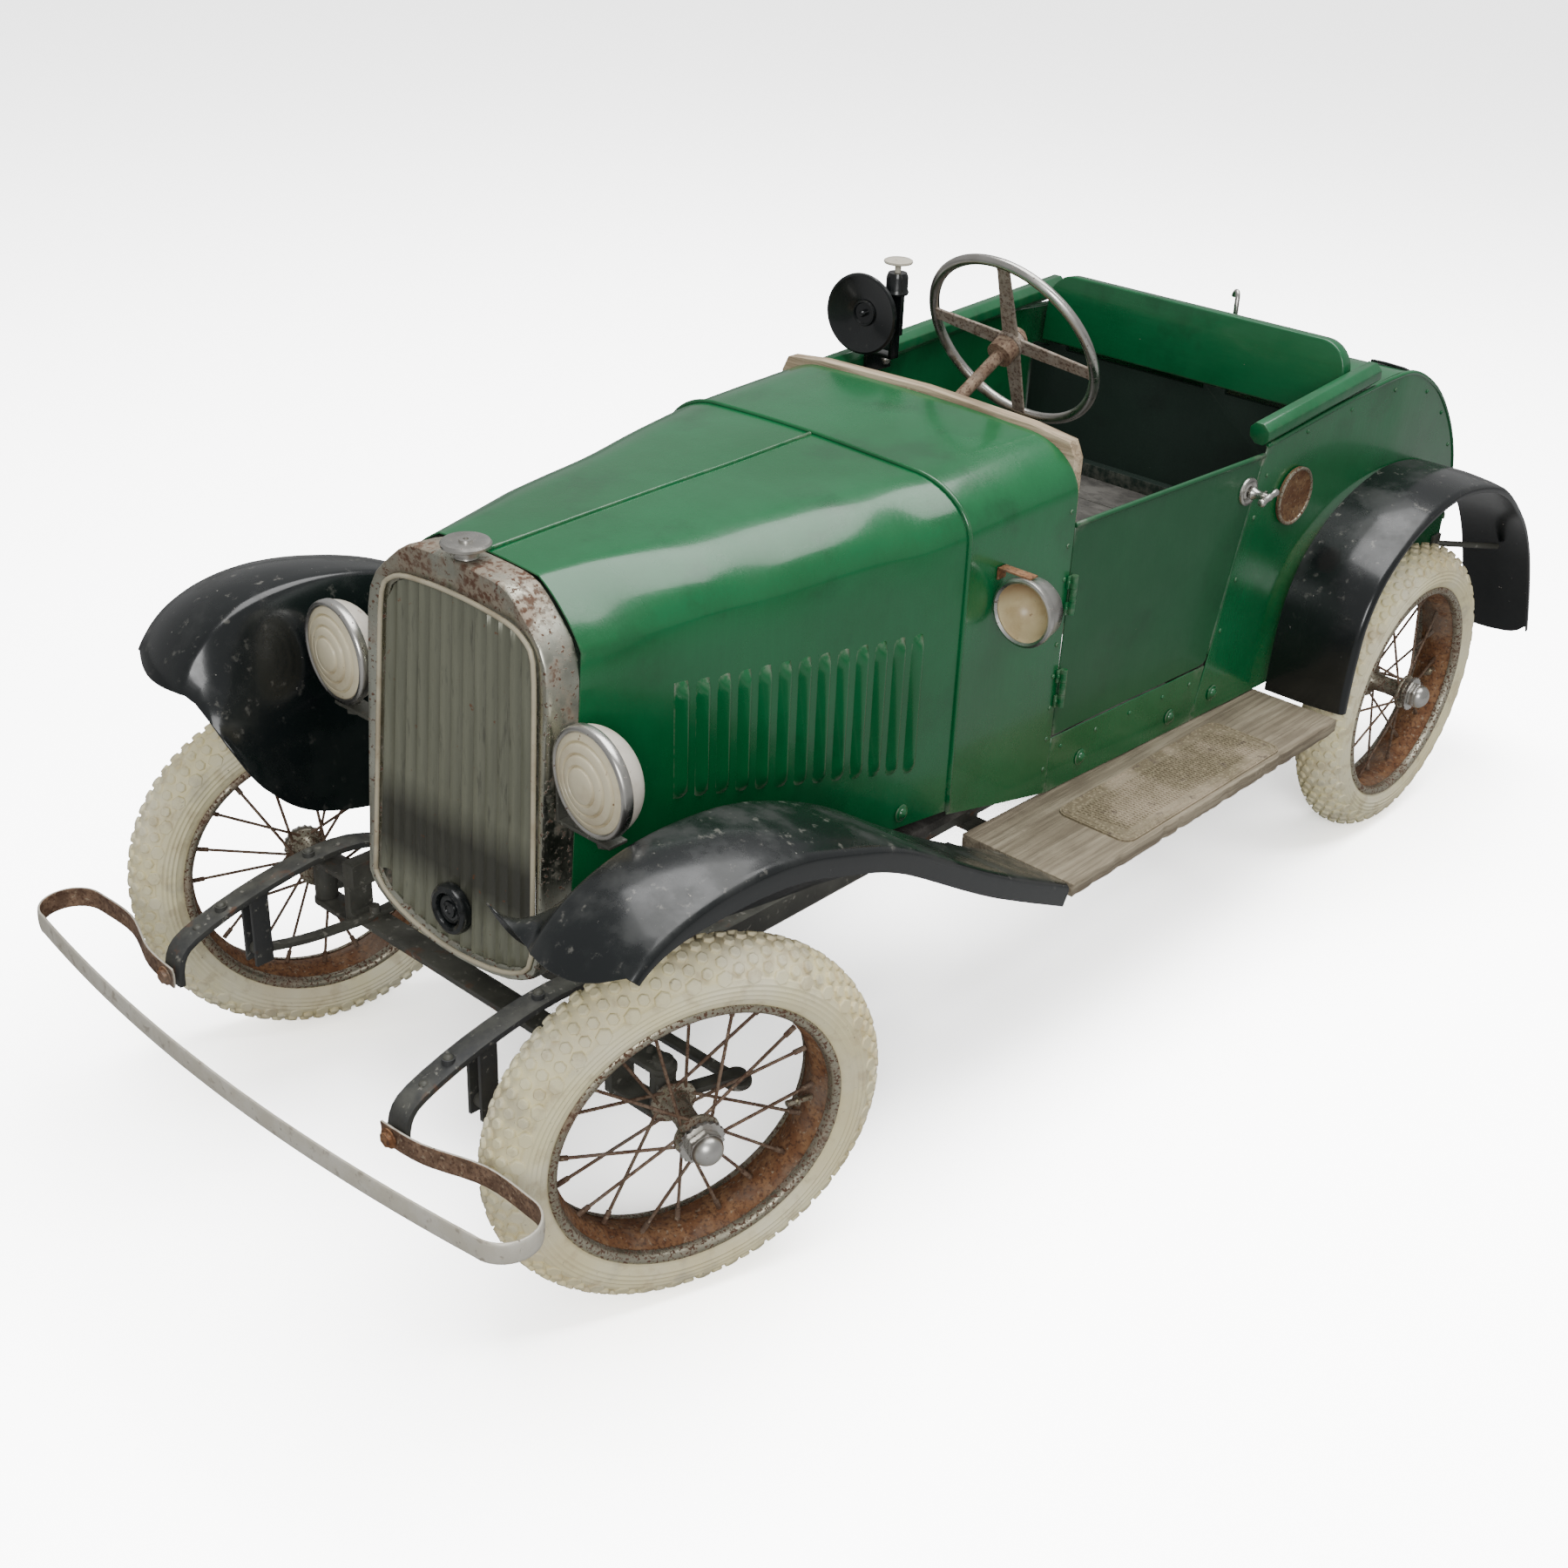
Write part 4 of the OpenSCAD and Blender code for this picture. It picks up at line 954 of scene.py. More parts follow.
# %% [markdown]
# ### Rivets and bolts
# A rivet head is a sphere squashed to a low dome, turned to face out of its panel.

# %% Rivets and bolts
def domes(name, spots, radius, height, sides=12):
    """Low domes at (x, y, z, normal) car stations."""
    parts = []
    for x, y, z, normal in spots:
        deselect()
        bpy.ops.mesh.primitive_uv_sphere_add(segments=sides, ring_count=6, radius=radius / 1000)
        squash = Matrix.Diagonal((1, 1, height / radius, 1))
        turn = Vector(normal).to_track_quat("Z", "Y").to_matrix().to_4x4()
        parts.append(settle(bpy.context.object, Matrix.Translation(place(x, y, z)) @ turn @ squash))
    piece = joined(name, parts)
    return smooth(piece, 60)


rivets = []
for side in SIDES.values():
    rivets += [(side * body_x(-15), -15, z, (side, 0, 0)) for z in range(228, 480, 31)]
    rivets += [(side * body_x(y), y, 244, (side, 0, 0)) for y in (8, 60, 112, 164, 208)]
    rivets += [(side * (body_x(y) + 0.1), y, z, (side, 0, 0)) for y, z in
               ((289, 440), (277, 400), (262, 340), (248, 290), (246, 226))]
    rivets += [(side * body_x(y), y, z, (side, 0, 0)) for y, z in
               ((352, 470), (430, 476), (512, 480), (590, 462), (640, 428), (676, 384), (694, 320))]
small_rivets = domes("panel_rivets", rivets, 2.3, 1.3)
done(small_rivets, green, "scuttle", hide=False)
heads = []
for side in SIDES.values():
    heads += [(side * (body_x(y) + 0.4), y, z, (side, 0, 0)) for y, z in
              ((-203, 250), (40, 222), (180, 218), (250, 222), (430, 222))]
bolt_heads = domes("sill_bolts", heads, 5.6, 4.4, 20)
washers = domes("sill_washers", heads, 8.2, 1.6, 24)
done(joined("sill_bolts", [bolt_heads, washers]), green, "body_bolts")
print(len(rivets), "rivets and", len(heads), "bolts")

# %% [markdown]
# ## Sides, door and tail
# Each side panel is a ruled sheet between a lower and an upper line that follows the
# body's plan. The free upper edges are rolled over a wire, which shows as a worn lip.

# %% Side sheets
def side_sheet(name, lines, side, out=0.0, steps=14, flat=0.5):
    """lines are pairs of (y, z), the foot and head of each upright line of the sheet."""
    rows = []
    for i in range(steps + 1):
        v = i / steps
        row = []
        for (y0, z0), (y1, z1) in lines:
            y, z = y0 + (y1 - y0) * v, z0 + (z1 - z0) * v
            ripple = flat * math.sin(y * 0.031 + z * 0.017) * math.sin(z * 0.021 + 1.0 + y * 0.011)
            row.append(place(side * (body_x(y) + out - abs(ripple)), y, z))
        rows.append(row)
    return sheet_metal(name, rows, flip=side < 0)


def spaced(a, b, n):
    return [tuple(p + (q - p) * k / n for p, q in zip(a, b)) for k in range(n + 1)]


def lip(name, line, side, radius=2.4, inset=1.0):
    return tube(name, [place(side * (body_x(y) - inset), y, z) for y, z in line], radius, 10)


print("tail edge has", len(TAIL_EDGE), "points")


# %% [markdown]
# ### Sill, quarter, right side and tail
# The left side has a door opening, so it is a low sill and a rear quarter. The right side
# is one long panel. The tail deck follows the same curved edge from side to side.

# %% Fixed panels
sill = side_sheet("sill_sheet", list(zip(spaced((-7.5, PANEL_FOOT), (218, PANEL_FOOT), 12),
                                         spaced((-7.5, 257), (230, 257), 12))), 1, steps=4)
done(sill, green, "sill_left")

foot = spaced((219, PANEL_FOOT), (560, 203), len(TAIL_EDGE) * 2 // 3)
foot += spaced((560, 203), (706, 215), len(TAIL_EDGE) - len(foot))[1:]
quarter = side_sheet("quarter_sheet", list(zip(foot, TAIL_EDGE)), 1)
quarter = joined("quarter_sheet", [quarter, lip("quarter_lip", TAIL_EDGE, 1)])
done(quarter, green, "rear_quarter_left")

right_top = spaced((-7.5, 489), (45, 490), 3) + spaced((45, 490), (375, 500), 12)[1:]
right_top += spaced((375, 500), (470, 492), 4)[1:] + [p for p in TAIL_EDGE if p[0] > 475]
right_foot = spaced((-7.5, PANEL_FOOT), (560, 203), len(right_top) * 3 // 4)
right_foot += spaced((560, 203), (706, 215), len(right_top) - len(right_foot))[1:]
right_side = side_sheet("right_side_sheet", list(zip(right_foot, right_top)), -1)
right_side = joined("right_side_sheet", [right_side, lip("right_lip", right_top, -1)])
done(right_side, green, "side_panel_right")

deck_line = [p for p in TAIL_EDGE if p[0] > 452 and p[1] > 330]
deck_rows = [[place(195 - 390 * k / 24, y - 0.2, z - 0.6 - 1.2 * (1 - (k / 12 - 1) ** 2)) for k in range(25)]
             for y, z in deck_line]
deck = sheet_metal("tail_deck", deck_rows, flip=True)
done(deck, green, "tail_skin")
print("fixed panels:", sill.name, quarter.name, right_side.name, deck.name)

# %% [markdown]
# ### Door
# The door has a slanted rear edge and a top rolled over a wire. Its paint is duller than
# the rest. Each hinge is a barrel of three knuckles on one pin: the middle one swings
# with the door, and the outer two stay on the body.

# %% Door and its fittings
door_foot = [(-6.5, 259.2)] + spaced((2, 259.2), (220, 259.4), 12) + [(227, 260.8), (230.4, 264)]
door_head = spaced((-6.5, 462.6), (279.6, 462.6), len(door_foot) - 1)
door_sheet = side_sheet("door_sheet", list(zip(door_foot, door_head)), 1, steps=16)
door_top = tube("door_top", [place(body_x(y) - 0.8, y, 461.6) for y, z in door_head], 2.6, 10)
door_rear = tube("door_rear", [place(body_x(y) - 0.4, y, z) for y, z in
                               spaced((231.4, 270), (278.0, 460), 10)], 1.5, 8)
door_leaf = joined("door_sheet", [door_sheet, door_top, door_rear])
done(door_leaf, door_green, "door")

escutcheon = lathe("handle_escutcheon", [(3.8, 0), (13.6, 0), (14, 1), (13.4, 2.6), (11, 3.2), (9.4, 2.2),
                                         (8, 2.0), (6.4, 3.4), (3.8, 3.6), (3.8, 0)], 48)
settle(escutcheon, at(body_x(258) - 0.2, 258, 431, 0, 90, -2.9))
done(smooth(escutcheon), bright_plate, "door", hide=False, body="door_leaf", slot="chrome_worn")

HINGE_HEIGHTS = (302, 392)
HINGE_PIN = (180.8, -5)
KNUCKLE = 12
KNUCKLE_GAP = 12.3
knuckles = []
for z in HINGE_HEIGHTS:
    knuckles.append(rod("knuckle", place(*HINGE_PIN, z), place(*HINGE_PIN, z + KNUCKLE), 3.2, 20))
    knuckles.append(box("leaf", (177.2, -2.2, z), (179.2, 4, z + KNUCKLE), 0.4))
done(joined("door_hinge_leaves", knuckles), green, "door", hide=False)
plates = []
screws = []
for z in HINGE_HEIGHTS:
    plates.append(rod("pin", place(*HINGE_PIN, z - 12.2), place(*HINGE_PIN, z + 24.2), 1.6, 16))
    for foot_z in (z - KNUCKLE_GAP, z + KNUCKLE_GAP):
        head_z = foot_z + KNUCKLE
        plates.append(rod("knuckle", place(*HINGE_PIN, foot_z), place(*HINGE_PIN, head_z), 3.2, 20))
        plates.append(box("leaf", (177.3, -12, foot_z), (179.3, -6.8, head_z), 0.4))
        screws.append((179.2, -10, foot_z + KNUCKLE / 2, (1, 0, 0)))
hinge_screws = domes("hinge_screws", screws, 1.8, 1.0)
done(joined("door_hinge_plates", plates + [hinge_screws]), green, "door_hinges")
print("door sheet", len(door_leaf.data.polygons), "faces,", len(screws), "hinge screws")

# %% [markdown]
# ## Radiator
# The shell is one closed ring of sheet: rows of matching points run round its back edge,
# its rounded shoulders, its face and the inside of the grille opening. The fluted panel
# behind follows the same opening.

# %% Radiator shell, bead and grille
def at_radiator(x, depth, z):
    """A point of the leaning radiator: depth is measured back from its front face."""
    angle = math.radians(RADIATOR_LEAN)
    dz = z - RADIATOR_FOOT
    return place(x, RADIATOR_FRONT + depth * math.cos(angle) + dz * math.sin(angle),
                 RADIATOR_FOOT - depth * math.sin(angle) + dz * math.cos(angle))


def radiator_loop(w_top, w_low, shoulder, foot, dip, rise, cut, sag=8.0):
    """A closed outline with the same number of points whatever its size."""
    points = [(w_low * math.cos(math.radians(a)), foot - dip * math.sin(math.radians(a)))
              for a in range(180, -1, -12)]
    points += spaced((w_low, foot), (w_top, shoulder), 12)[1:]
    top_x = w_top - cut
    edge = shoulder + rise - sag * (top_x / w_top) ** 2
    points += spaced((w_top, shoulder), (top_x, edge), 5)[1:]
    points += [(x, shoulder + rise - sag * (x / w_top) ** 2)
               for x in (top_x - 2 * top_x * k / 14 for k in range(1, 15))]
    points += spaced((-top_x, edge), (-w_top, shoulder), 5)[1:]
    points += spaced((-w_top, shoulder), (-w_low, foot), 12)[1:]
    for _ in range(2):
        points = points[:1] + [tuple((a + 2 * b + c) / 4 for a, b, c in zip(*three)) for three in
                               zip(points, points[1:], points[2:])] + points[-1:]
    return points


def radiator_ring(name, loops):
    """loops are (outline, depth) pairs from the back edge round the outside to the inside."""
    rows = [[at_radiator(x, depth, z) for x, z in outline] for outline, depth in loops]
    return mend(blanket(name, rows + [rows[0]]), 1e-5)


outer = radiator_loop(104, 104, 478, 226, 34, 44, 46)
rounded = radiator_loop(102.6, 102.6, 476.8, 226.6, 33, 43.4, 45)
face = radiator_loop(99, 99.5, 474.5, 228.5, 31, 42, 43)
inner = radiator_loop(88.5, 96, 477, 230, 30.5, 19, 22)
mouth = radiator_loop(84.5, 93.4, 476, 230.4, 29.6, 17, 20)
shell = radiator_ring("radiator_shell_sheet", [
    (outer, 30), (outer, 5), (radiator_loop(103.6, 103.6, 477.6, 226.2, 33.6, 43.8, 45.6), 1.6),
    (rounded, 0.2), (face, 0.6), (inner, 4.2), (mouth, 5.6), (mouth, 30)])
done(smooth(shell, 34), shell_plate, "radiator_shell")

print("shell", len(shell.data.polygons), "faces")


# %% [markdown]
# ### Bead and fluted grille
# A half-round bead trims the opening. Behind it stands a sheet pressed into narrow ribs:
# each row of the blanket runs across all the flutes, between the opening's limits.

# %% Bead and fluted grille
bead_path = [at_radiator(x, 0.9, z) for x, z in radiator_loop(87.5, 95.5, 478, 229, 32, 18, 21)]
bead = tube("opening_bead", bead_path, 2.0, 12, up=Vector((0, 1, 0)))
done(bead, bead_cream, "grille_bead")

opening = radiator_loop(84, 93, 475.8, 230.2, 29.5, 16.8, 20)


def opening_limits(x):
    """Lowest and highest point of the opening at an x."""
    crossings = []
    for (x0, z0), (x1, z1) in zip(opening, opening[1:] + opening[:1]):
        if (x0 - x) * (x1 - x) <= 0 and abs(x1 - x0) > 1e-6:
            crossings.append(z0 + (z1 - z0) * (x - x0) / (x1 - x0))
    return min(crossings), max(crossings)


flute_rows = []
FLUTES = 13
for i in range(19):
    v = i / 18
    row = []
    for k in range(FLUTES * 10 + 1):
        t = k / (FLUTES * 10)
        x = (-1 + 2 * t) * (92.4 - 8.8 * v)
        phase = (t * FLUTES) % 1
        ridge = math.exp(-(min(phase, 1 - phase) / 0.085) ** 2)
        hollow = math.sin(phase * math.pi) ** 0.8
        low_z, high_z = opening_limits(min(max(x, -83.2), 83.2))
        low_z = 230 if abs(x) > 83.2 else low_z
        row.append(at_radiator(x, 6.0 - 2.2 * ridge + 1.6 * hollow, low_z + (high_z - low_z) * v))
    flute_rows.append(row)
flutes = sheet_metal("fluted_panel", flute_rows, gauge=1.2)
done(flutes, grille_grey, "radiator_grille")

print(FLUTES, "flutes in", len(flutes.data.polygons), "faces")

# %% [markdown]
# ### Starting-handle ring and filler cap
# Both are turned shapes. The ring and its cap are dummies that sit low on the grille.

# %% Ring and cap
RING_UP = at(0, RADIATOR_FRONT, RADIATOR_FOOT, -RADIATOR_LEAN) @ Matrix.Translation((0, 0, 0.006))
RING_UP = RING_UP @ Matrix.Rotation(math.pi / 2, 4, "X")
crank_ring = lathe("crank_ring", [(13.4, -4), (13.0, 1), (14.2, 3.6), (17, 4.8), (19.8, 3.6), (21, 1),
                                  (21, -4), (13.4, -4)], 64)
crank_cap = lathe("crank_cap", [(0, -4), (12.6, -4), (12.4, 0.2), (11, 1.2), (9.4, 0.4), (7.4, 0.6),
                                (6.6, 2.2), (3.6, 2.6), (3, 1.6), (0, 1.4)], 48)
crank = joined("crank_hole_ring", [settle(crank_ring, RING_UP), settle(crank_cap, RING_UP)])
done(smooth(crank), horn_black, "radiator_grille", hide=False)

cap = lathe("filler_cap", [(0, 521.8), (9.5, 521.8), (8.8, 524), (9.6, 528.6), (17.2, 529.4), (18.8, 530.4),
                           (19, 532.4), (17.8, 534), (14, 534.6), (8, 533.8), (5.4, 533.6), (5, 535.3),
                           (2.2, 535.4), (2, 533.8), (0, 533.4)], 72)
settle(cap, at(0, -526, 0))
done(smooth(cap, 40), bright_plate, "radiator_cap")
print("ring and cap:", crank.name, cap.name)

# %% [markdown]
# ## Headlamps
# Each is a bucket, a rolled ring and a pressed cream lens with three steps, all turned on
# the lathe. A flat steel strap bolted to the radiator carries it.

# %% Headlamps
buckets, rings, lenses, straps = [], [], [], []
for side in SIDES.values():
    where = at(side * 147.8, -545, 400, 90, 0, -5)
    shell_profile = [(41.2, -5)] + [(41.6 * math.cos(a) ** 0.8, -6 - 29 * math.sin(a)) for a in
                                    (math.pi / 2 * k / 14 for k in range(15))]
    shell_profile += [(0.0, -33.3)] + [(39.4 * math.cos(a), -6 - 27 * math.sin(a)) for a in
                                       (math.pi / 2 * k / 12 for k in range(11, -1, -1))]
    bucket = lathe("bucket", shell_profile + [shell_profile[0]], 72)
    buckets.append(settle(smooth(bucket, 50), where))
    ring = lathe("ring", [(38.2, -8.5), (41.8, -8.6), (42.8, -7.4), (42.9, -3), (42.4, -0.8), (41, 0.4),
                          (39.2, 0.6), (37.8, -0.4), (37.6, -2.2), (38.2, -3), (38.2, -8.5)], 96)
    rings.append(settle(smooth(ring, 40), where))
    lens = lathe("lens", [(0, -3), (38, -3), (38.2, -1.4), (36.5, 0.2), (32.6, 1.2), (31.2, -0.6),
                          (30.0, 2.4), (28.6, 3.2), (24.4, 3.6), (23.0, 1.8), (21.8, 4.6), (20.4, 5.4),
                          (16.0, 5.8), (14.6, 4.0), (13.4, 6.6), (12, 7.2), (6, 7.8), (0, 8)], 96)
    lenses.append(settle(smooth(lens, 30), where))
    low_x, high_x = sorted((side * 107, side * 162))
    straps.append(box("strap", (low_x, -537, 348), (high_x, -519, 351)))
    low_x, high_x = sorted((side * 104.4, side * 107.2))
    straps.append(box("strap_foot", (low_x, -537, 348), (high_x, -519, 384)))
    straps.append(rod("lamp_stalk", place(side * 147.8, -528, 350), place(side * 147.8, -528, 360.4), 5, 18))
    straps.append(rod("lamp_nut", place(side * 147.8, -528, 343), place(side * 147.8, -528, 348), 7, 6))
    straps.append(rod("foot_bolt", place(side * 106.5, -528, 374), place(side * 111, -528, 374), 5, 6))
done(joined("headlamp_buckets", buckets), lamp_white, "headlamps")
done(joined("headlamp_rings", rings), bright_plate, "headlamps", slot="chrome_worn")
done(joined("headlamp_glasses", lenses), lens_cream, "headlamp_lenses")
strap_set = joined("headlamp_straps", straps)
bevel(strap_set, 0.6)
done(smooth(strap_set), grey, "lamp_brackets")

print("headlamps:", len(buckets), "buckets,", len(straps), "strap pieces")


# %% [markdown]
# ### Side lamps and the round dish
# The side lamps have lost their glass, so their cream bowls show, stained brown at the
# top. A shallow rusty dish with a thin plated rim sits on the rear quarter.

# %% Side lamps and dish
cups, bowls, tabs = [], [], []
LAMP_Y = -116
for side in SIDES.values():
    wall = body_x(LAMP_Y)
    where = at(side * (wall + 31), LAMP_Y, 421, 90)
    cup = lathe("cup", [(25.4, -0.8), (27.6, 0.6), (29.6, -0.4), (30, -3.5), (29, -6), (28.4, -9), (26, -22),
                        (19, -31), (10, -36.5), (0, -38), (0, -36.4), (9, -35), (18, -29.6), (24.8, -21),
                        (26.4, -10), (25.4, -0.8)], 72)
    cups.append(settle(smooth(cup, 40), where))
    bowl = lathe("bowl", [(25.6, -2), (24.6, -6), (22.6, -15), (17, -23), (9, -28), (0, -30), (0, -31.4),
                          (10, -29.4), (18.4, -24.4), (24, -15), (26.2, -6), (25.6, -2)], 64)
    bowls.append(settle(smooth(bowl, 50), where))
    x0, x1 = sorted((side * (wall + 0.4), side * (wall + 34)))
    tabs.append(box("tab", (x0, -113, 450.4), (x1, -102, 452.2), 0.5))
    x0, x1 = sorted((side * (wall + 0.4), side * (wall + 2.2)))
    tabs.append(box("tab_foot", (x0, -113, 441), (x1, -102, 452.2), 0.5))
done(joined("side_lamp_cups", cups), bright_plate, "side_lamps")
done(joined("side_lamp_bowls", bowls), bowl_cream, "side_lamps", slot="lens_cream")
done(joined("side_lamp_tabs", tabs), rim_rust, "side_lamps", slot="rust_steel")

dish = lathe("dish", [(0, 0.8), (29, 0.8), (29.2, 3.4), (28.2, 4.4), (26.4, 4.2), (25.2, 3.0), (20, 2.6),
                      (10, 2.2), (0, 2.4)], 64)
DISH_AT = at(body_x(341) + 0.2, 341, 408, 0, 90, -2.5)
settle(dish, DISH_AT)
done(smooth(dish, 40), dish_rust, "quarter_dish", slot="rust_steel")
dish_rim = lathe("dish_rim", [(25.6, 3), (26.2, 4.6), (27.8, 5.2), (29.2, 4.4), (29.2, 3), (25.6, 3)], 72)
settle(dish_rim, DISH_AT)
done(smooth(dish_rim, 40), rim_plate, "quarter_dish", slot="chrome_worn")
print("side lamps:", len(cups), "cups; dish", len(dish.data.polygons), "faces")

# %% [markdown]
# ## Fenders
# A front fender is a run of cross-sections along its arch. Each section climbs the inner
# apron, rounds the ridge, crosses the crown and folds down into an outer lip. The outer
# edge stops a little short of the ridge, so the nose is rounded in plan. The left fender
# has been bent down and the right one up, which the tilt gives them.

# %% Front fenders
FRONT_ARCH = spline([(-124, 201), (-220, 258), (-290, 306), (-350, 350), (-400, 378), (-450, 398),
                     (-500, 408), (-550, 410), (-595, 402), (-630, 384), (-652, 358), (-660, 335)], 4)
APRON_FOOT = spline([(-150, 206), (-300, 214), (-440, 236), (-560, 262), (-612, 300), (-640, 345)], 9)
REAR_ARCH = spline([(334, 202), (337, 250), (348, 303), (380, 348), (440, 383), (528, 398),
                    (628, 377), (700, 328), (742, 280), (775, 215), (803, 141)], 5)


def on_path(path, u):
    """The point and unit direction at a share u of a path's points."""
    s = min(max(u, 0), 1) * (len(path) - 1)
    i = min(int(s), len(path) - 2)
    a, b = Vector(path[i]), Vector(path[i + 1])
    return a + (b - a) * (s - i), (b - a).normalized()


def ramp(value, low, high):
    t = min(max((value - low) / (high - low), 0), 1)
    return t * t * (3 - 2 * t)


def nose_stop(t, reach):
    """How far along the arch the fender runs, from its ridge, 0, to its outer edge, 1."""
    return reach - 0.06 * (t - 0.35) ** 2 - 0.03 * t ** 4


def front_fender(name, side, tilt, reach):
    rows = []
    count = 56
    lean = Matrix.Rotation(math.radians(tilt), 2)
    pivot = Vector((-124, 200))
    for i in range(count + 1):
        u = i / count
        foot_at, _ = on_path(APRON_FOOT, u)
        foot_at = pivot + lean.transposed() @ (foot_at - pivot)
        foot_x = max(body_x(max(foot_at[0], -528)) + 3, 150)
        ridge_at, ridge_way = on_path(FRONT_ARCH, u * nose_stop(0, reach))
        ridge_in = Vector((-ridge_way[1], ridge_way[0]))
        ridge_x = max(205, foot_x + 4)
        row = []
        for k in range(7):
            t = k / 7
            bow = math.sin(t * math.pi) * 3.0
            p = foot_at.lerp(ridge_at + ridge_in * 7, t)
            row.append((foot_x + (ridge_x - foot_x) * t + bow * 0.3, p))
        dome = ramp(u, 0.22, 0.5)
        for k in range(1, 4):
            a = math.pi / 2 * k / 3
            row.append((ridge_x + 7 * (1 - math.cos(a)), ridge_at + ridge_in * 7 * (1 - math.sin(a))))
        for k in range(1, 11):
            t = k / 10
            p, way = on_path(FRONT_ARCH, u * nose_stop(t, reach))
            inward = Vector((-way[1], way[0]))
            depth = dome * (9.0 * t ** 2.2 - 2.0 * math.sin(t * math.pi))
            row.append((ridge_x + 7 + (283 - ridge_x - 7) * t, p + inward * max(depth, -1.5)))
        p, way = on_path(FRONT_ARCH, u * nose_stop(1, reach))
        inward = Vector((-way[1], way[0]))
        deep = dome * 9.0
        hang = 13.2 * (1 - 0.85 * ramp(u, 0.7, 1.0))
        for k in range(1, 5):
            a = math.pi / 2 * k / 4
            row.append((283 + 6.8 * math.sin(a), p + inward * (deep + 6.8 * (1 - math.cos(a)))))
        for k in (0.5, 1.0):
            row.append((289.8, p + inward * (deep + 6.8 + hang * k)))
        rows.append([place(side * x, *(pivot + lean @ (q - pivot))) for x, q in row])
    return sheet_metal(name, rows, flip=side > 0)


for name, side, tilt, reach in (("left", 1, 3.5, 0.88), ("right", -1, -4.0, 0.985)):
    piece = front_fender("front_fender_" + name + "_sheet", side, tilt, reach)
    done(piece, black, "front_fender_" + name)

print("front fenders:", [name for name in made if name.startswith("front_fender")])


# %% [markdown]
# ### Rear fenders
# These are plain arches with no apron: a curved crown with a rolled outer edge. A round
# stay holds each tail end off the body.

# %% Rear fenders and their stays
def rear_fender(name, side):
    rows = []
    count = 54
    for i in range(count + 1):
        u = i / count
        row = []
        for k in range(11):
            t = k / 10
            stop = 1 - 0.035 * t ** 4
            p, way = on_path(REAR_ARCH, u * stop)
            inward = Vector((way[1], -way[0]))
            depth = 4.5 * t ** 2.4 - 1.0 * math.sin(t * math.pi)
            row.append((203.4 + (284 - 203.4) * t, p + inward * max(depth, 0)))
        p, way = on_path(REAR_ARCH, u * 0.965)
        inward = Vector((way[1], -way[0]))
        for k in range(1, 5):
            a = math.pi / 2 * k / 4
            row.append((284 + 5.8 * math.sin(a), p + inward * (4.5 + 5.8 * (1 - math.cos(a)))))
        row.append((289.8, p + inward * 13))
        rows.append([place(side * x, *q) for x, q in row])
    return sheet_metal(name, rows, flip=side < 0)


rear_pair = joined("rear_fender_sheets", [rear_fender("rear_fender", s) for s in (1, -1)])
done(rear_pair, black, "rear_fenders")
stay_parts = []
for side in SIDES.values():
    stay_parts.append(tube("stay", [place(side * 201, 690, 266), place(side * 226, 718, 264),
                                    place(side * 250, 746, 262)], 3.4, 12))
    stay_parts.append(box("stay_foot", (min(side * 198.4, side * 202), 681, 256),
                          (max(side * 198.4, side * 202), 699, 276)))
done(joined("rear_stays", stay_parts), grey, "fender_stays")
print("rear fenders", len(rear_pair.data.polygons), "faces")

# %% [markdown]
# ## Running boards and wooden pieces
# Each board is one weathered plank with a chipped outer edge, and carries a moulded mat
# with a raised border and rows of small dashes.

# %% Boards and mats
def ragged(a, b, n, amount, seed):
    """Points from a to b whose offset wanders like a chipped edge."""
    out = []
    for k, (x, y) in enumerate(spaced(a, b, n)):
        chip = math.sin(k * 2.3 + seed) * math.sin(k * 0.71 + seed * 3) + 0.6 * math.sin(k * 5.1 + seed)
        out.append((x - max(chip, 0) * amount * math.copysign(1, a[0]), y))
    return out


boards, mats = [], []
MAT_CORNERS = ((272, 222, 0), (216, 222, 90), (216, -18, 180), (272, -18, 270))
MAT_RADIUS = 12
for side in SIDES.values():
    edge = ragged((289.8, -121), (289.8, 332), 70, 1.5, 1.7 if side > 0 else 4.2)
    line = [(body_x(-121) - 4, -121)] + edge + [(body_x(332) - 4, 332), (body_x(-8) - 4, -8)]
    outline = [(side * x, y) for x, y in line]
    plank = plate("plank", outline, 12.8)
    bevel(plank, 0.9, 2, 50)
    boards.append(settle(smooth(plank), at(0, 0, 187.2)))
    mat_outline = []
    for cx, cy, a0 in MAT_CORNERS:
        mat_outline += arc(cx, cy, MAT_RADIUS, a0, a0 + 90, 6)
    base = plate("mat_base", [(side * x, y) for x, y in mat_outline], 1.7)
    parts = [settle(base, at(0, 0, BOARD_TOP))]
    for inset, width in ((2.4, 1.0), (7.5, 0.7)):
        loop = []
        for cx, cy, a0 in MAT_CORNERS:
            loop += arc(cx, cy, MAT_RADIUS - inset, a0, a0 + 90, 6)
        path = [place(side * x, y, 201.6) for x, y in loop + loop[:1]]
        parts.append(tube("mat_border", path, width, 6))
    dash = box("mat_dash", (side * 244 - 25.4, -16, 201.2), (side * 244 - 21.6, -14.6, 202.5), 0.3)
    modify(dash, "ARRAY", count=10, use_relative_offset=False, use_constant_offset=True,
           constant_offset_displace=(0.0052, 0.0007, 0))
    modify(dash, "ARRAY", count=58, use_relative_offset=False, use_constant_offset=True,
           constant_offset_displace=(0, 0.0040, 0))
    parts.append(dash)
    mats.append(joined("mat", parts))
done(joined("running_board_planks", boards), board_grey, "running_boards")
done(smooth(joined("board_mats_moulded", mats), 40), mat_tan, "board_mats")

print("mats", len(mats[0].data.polygons), "faces")


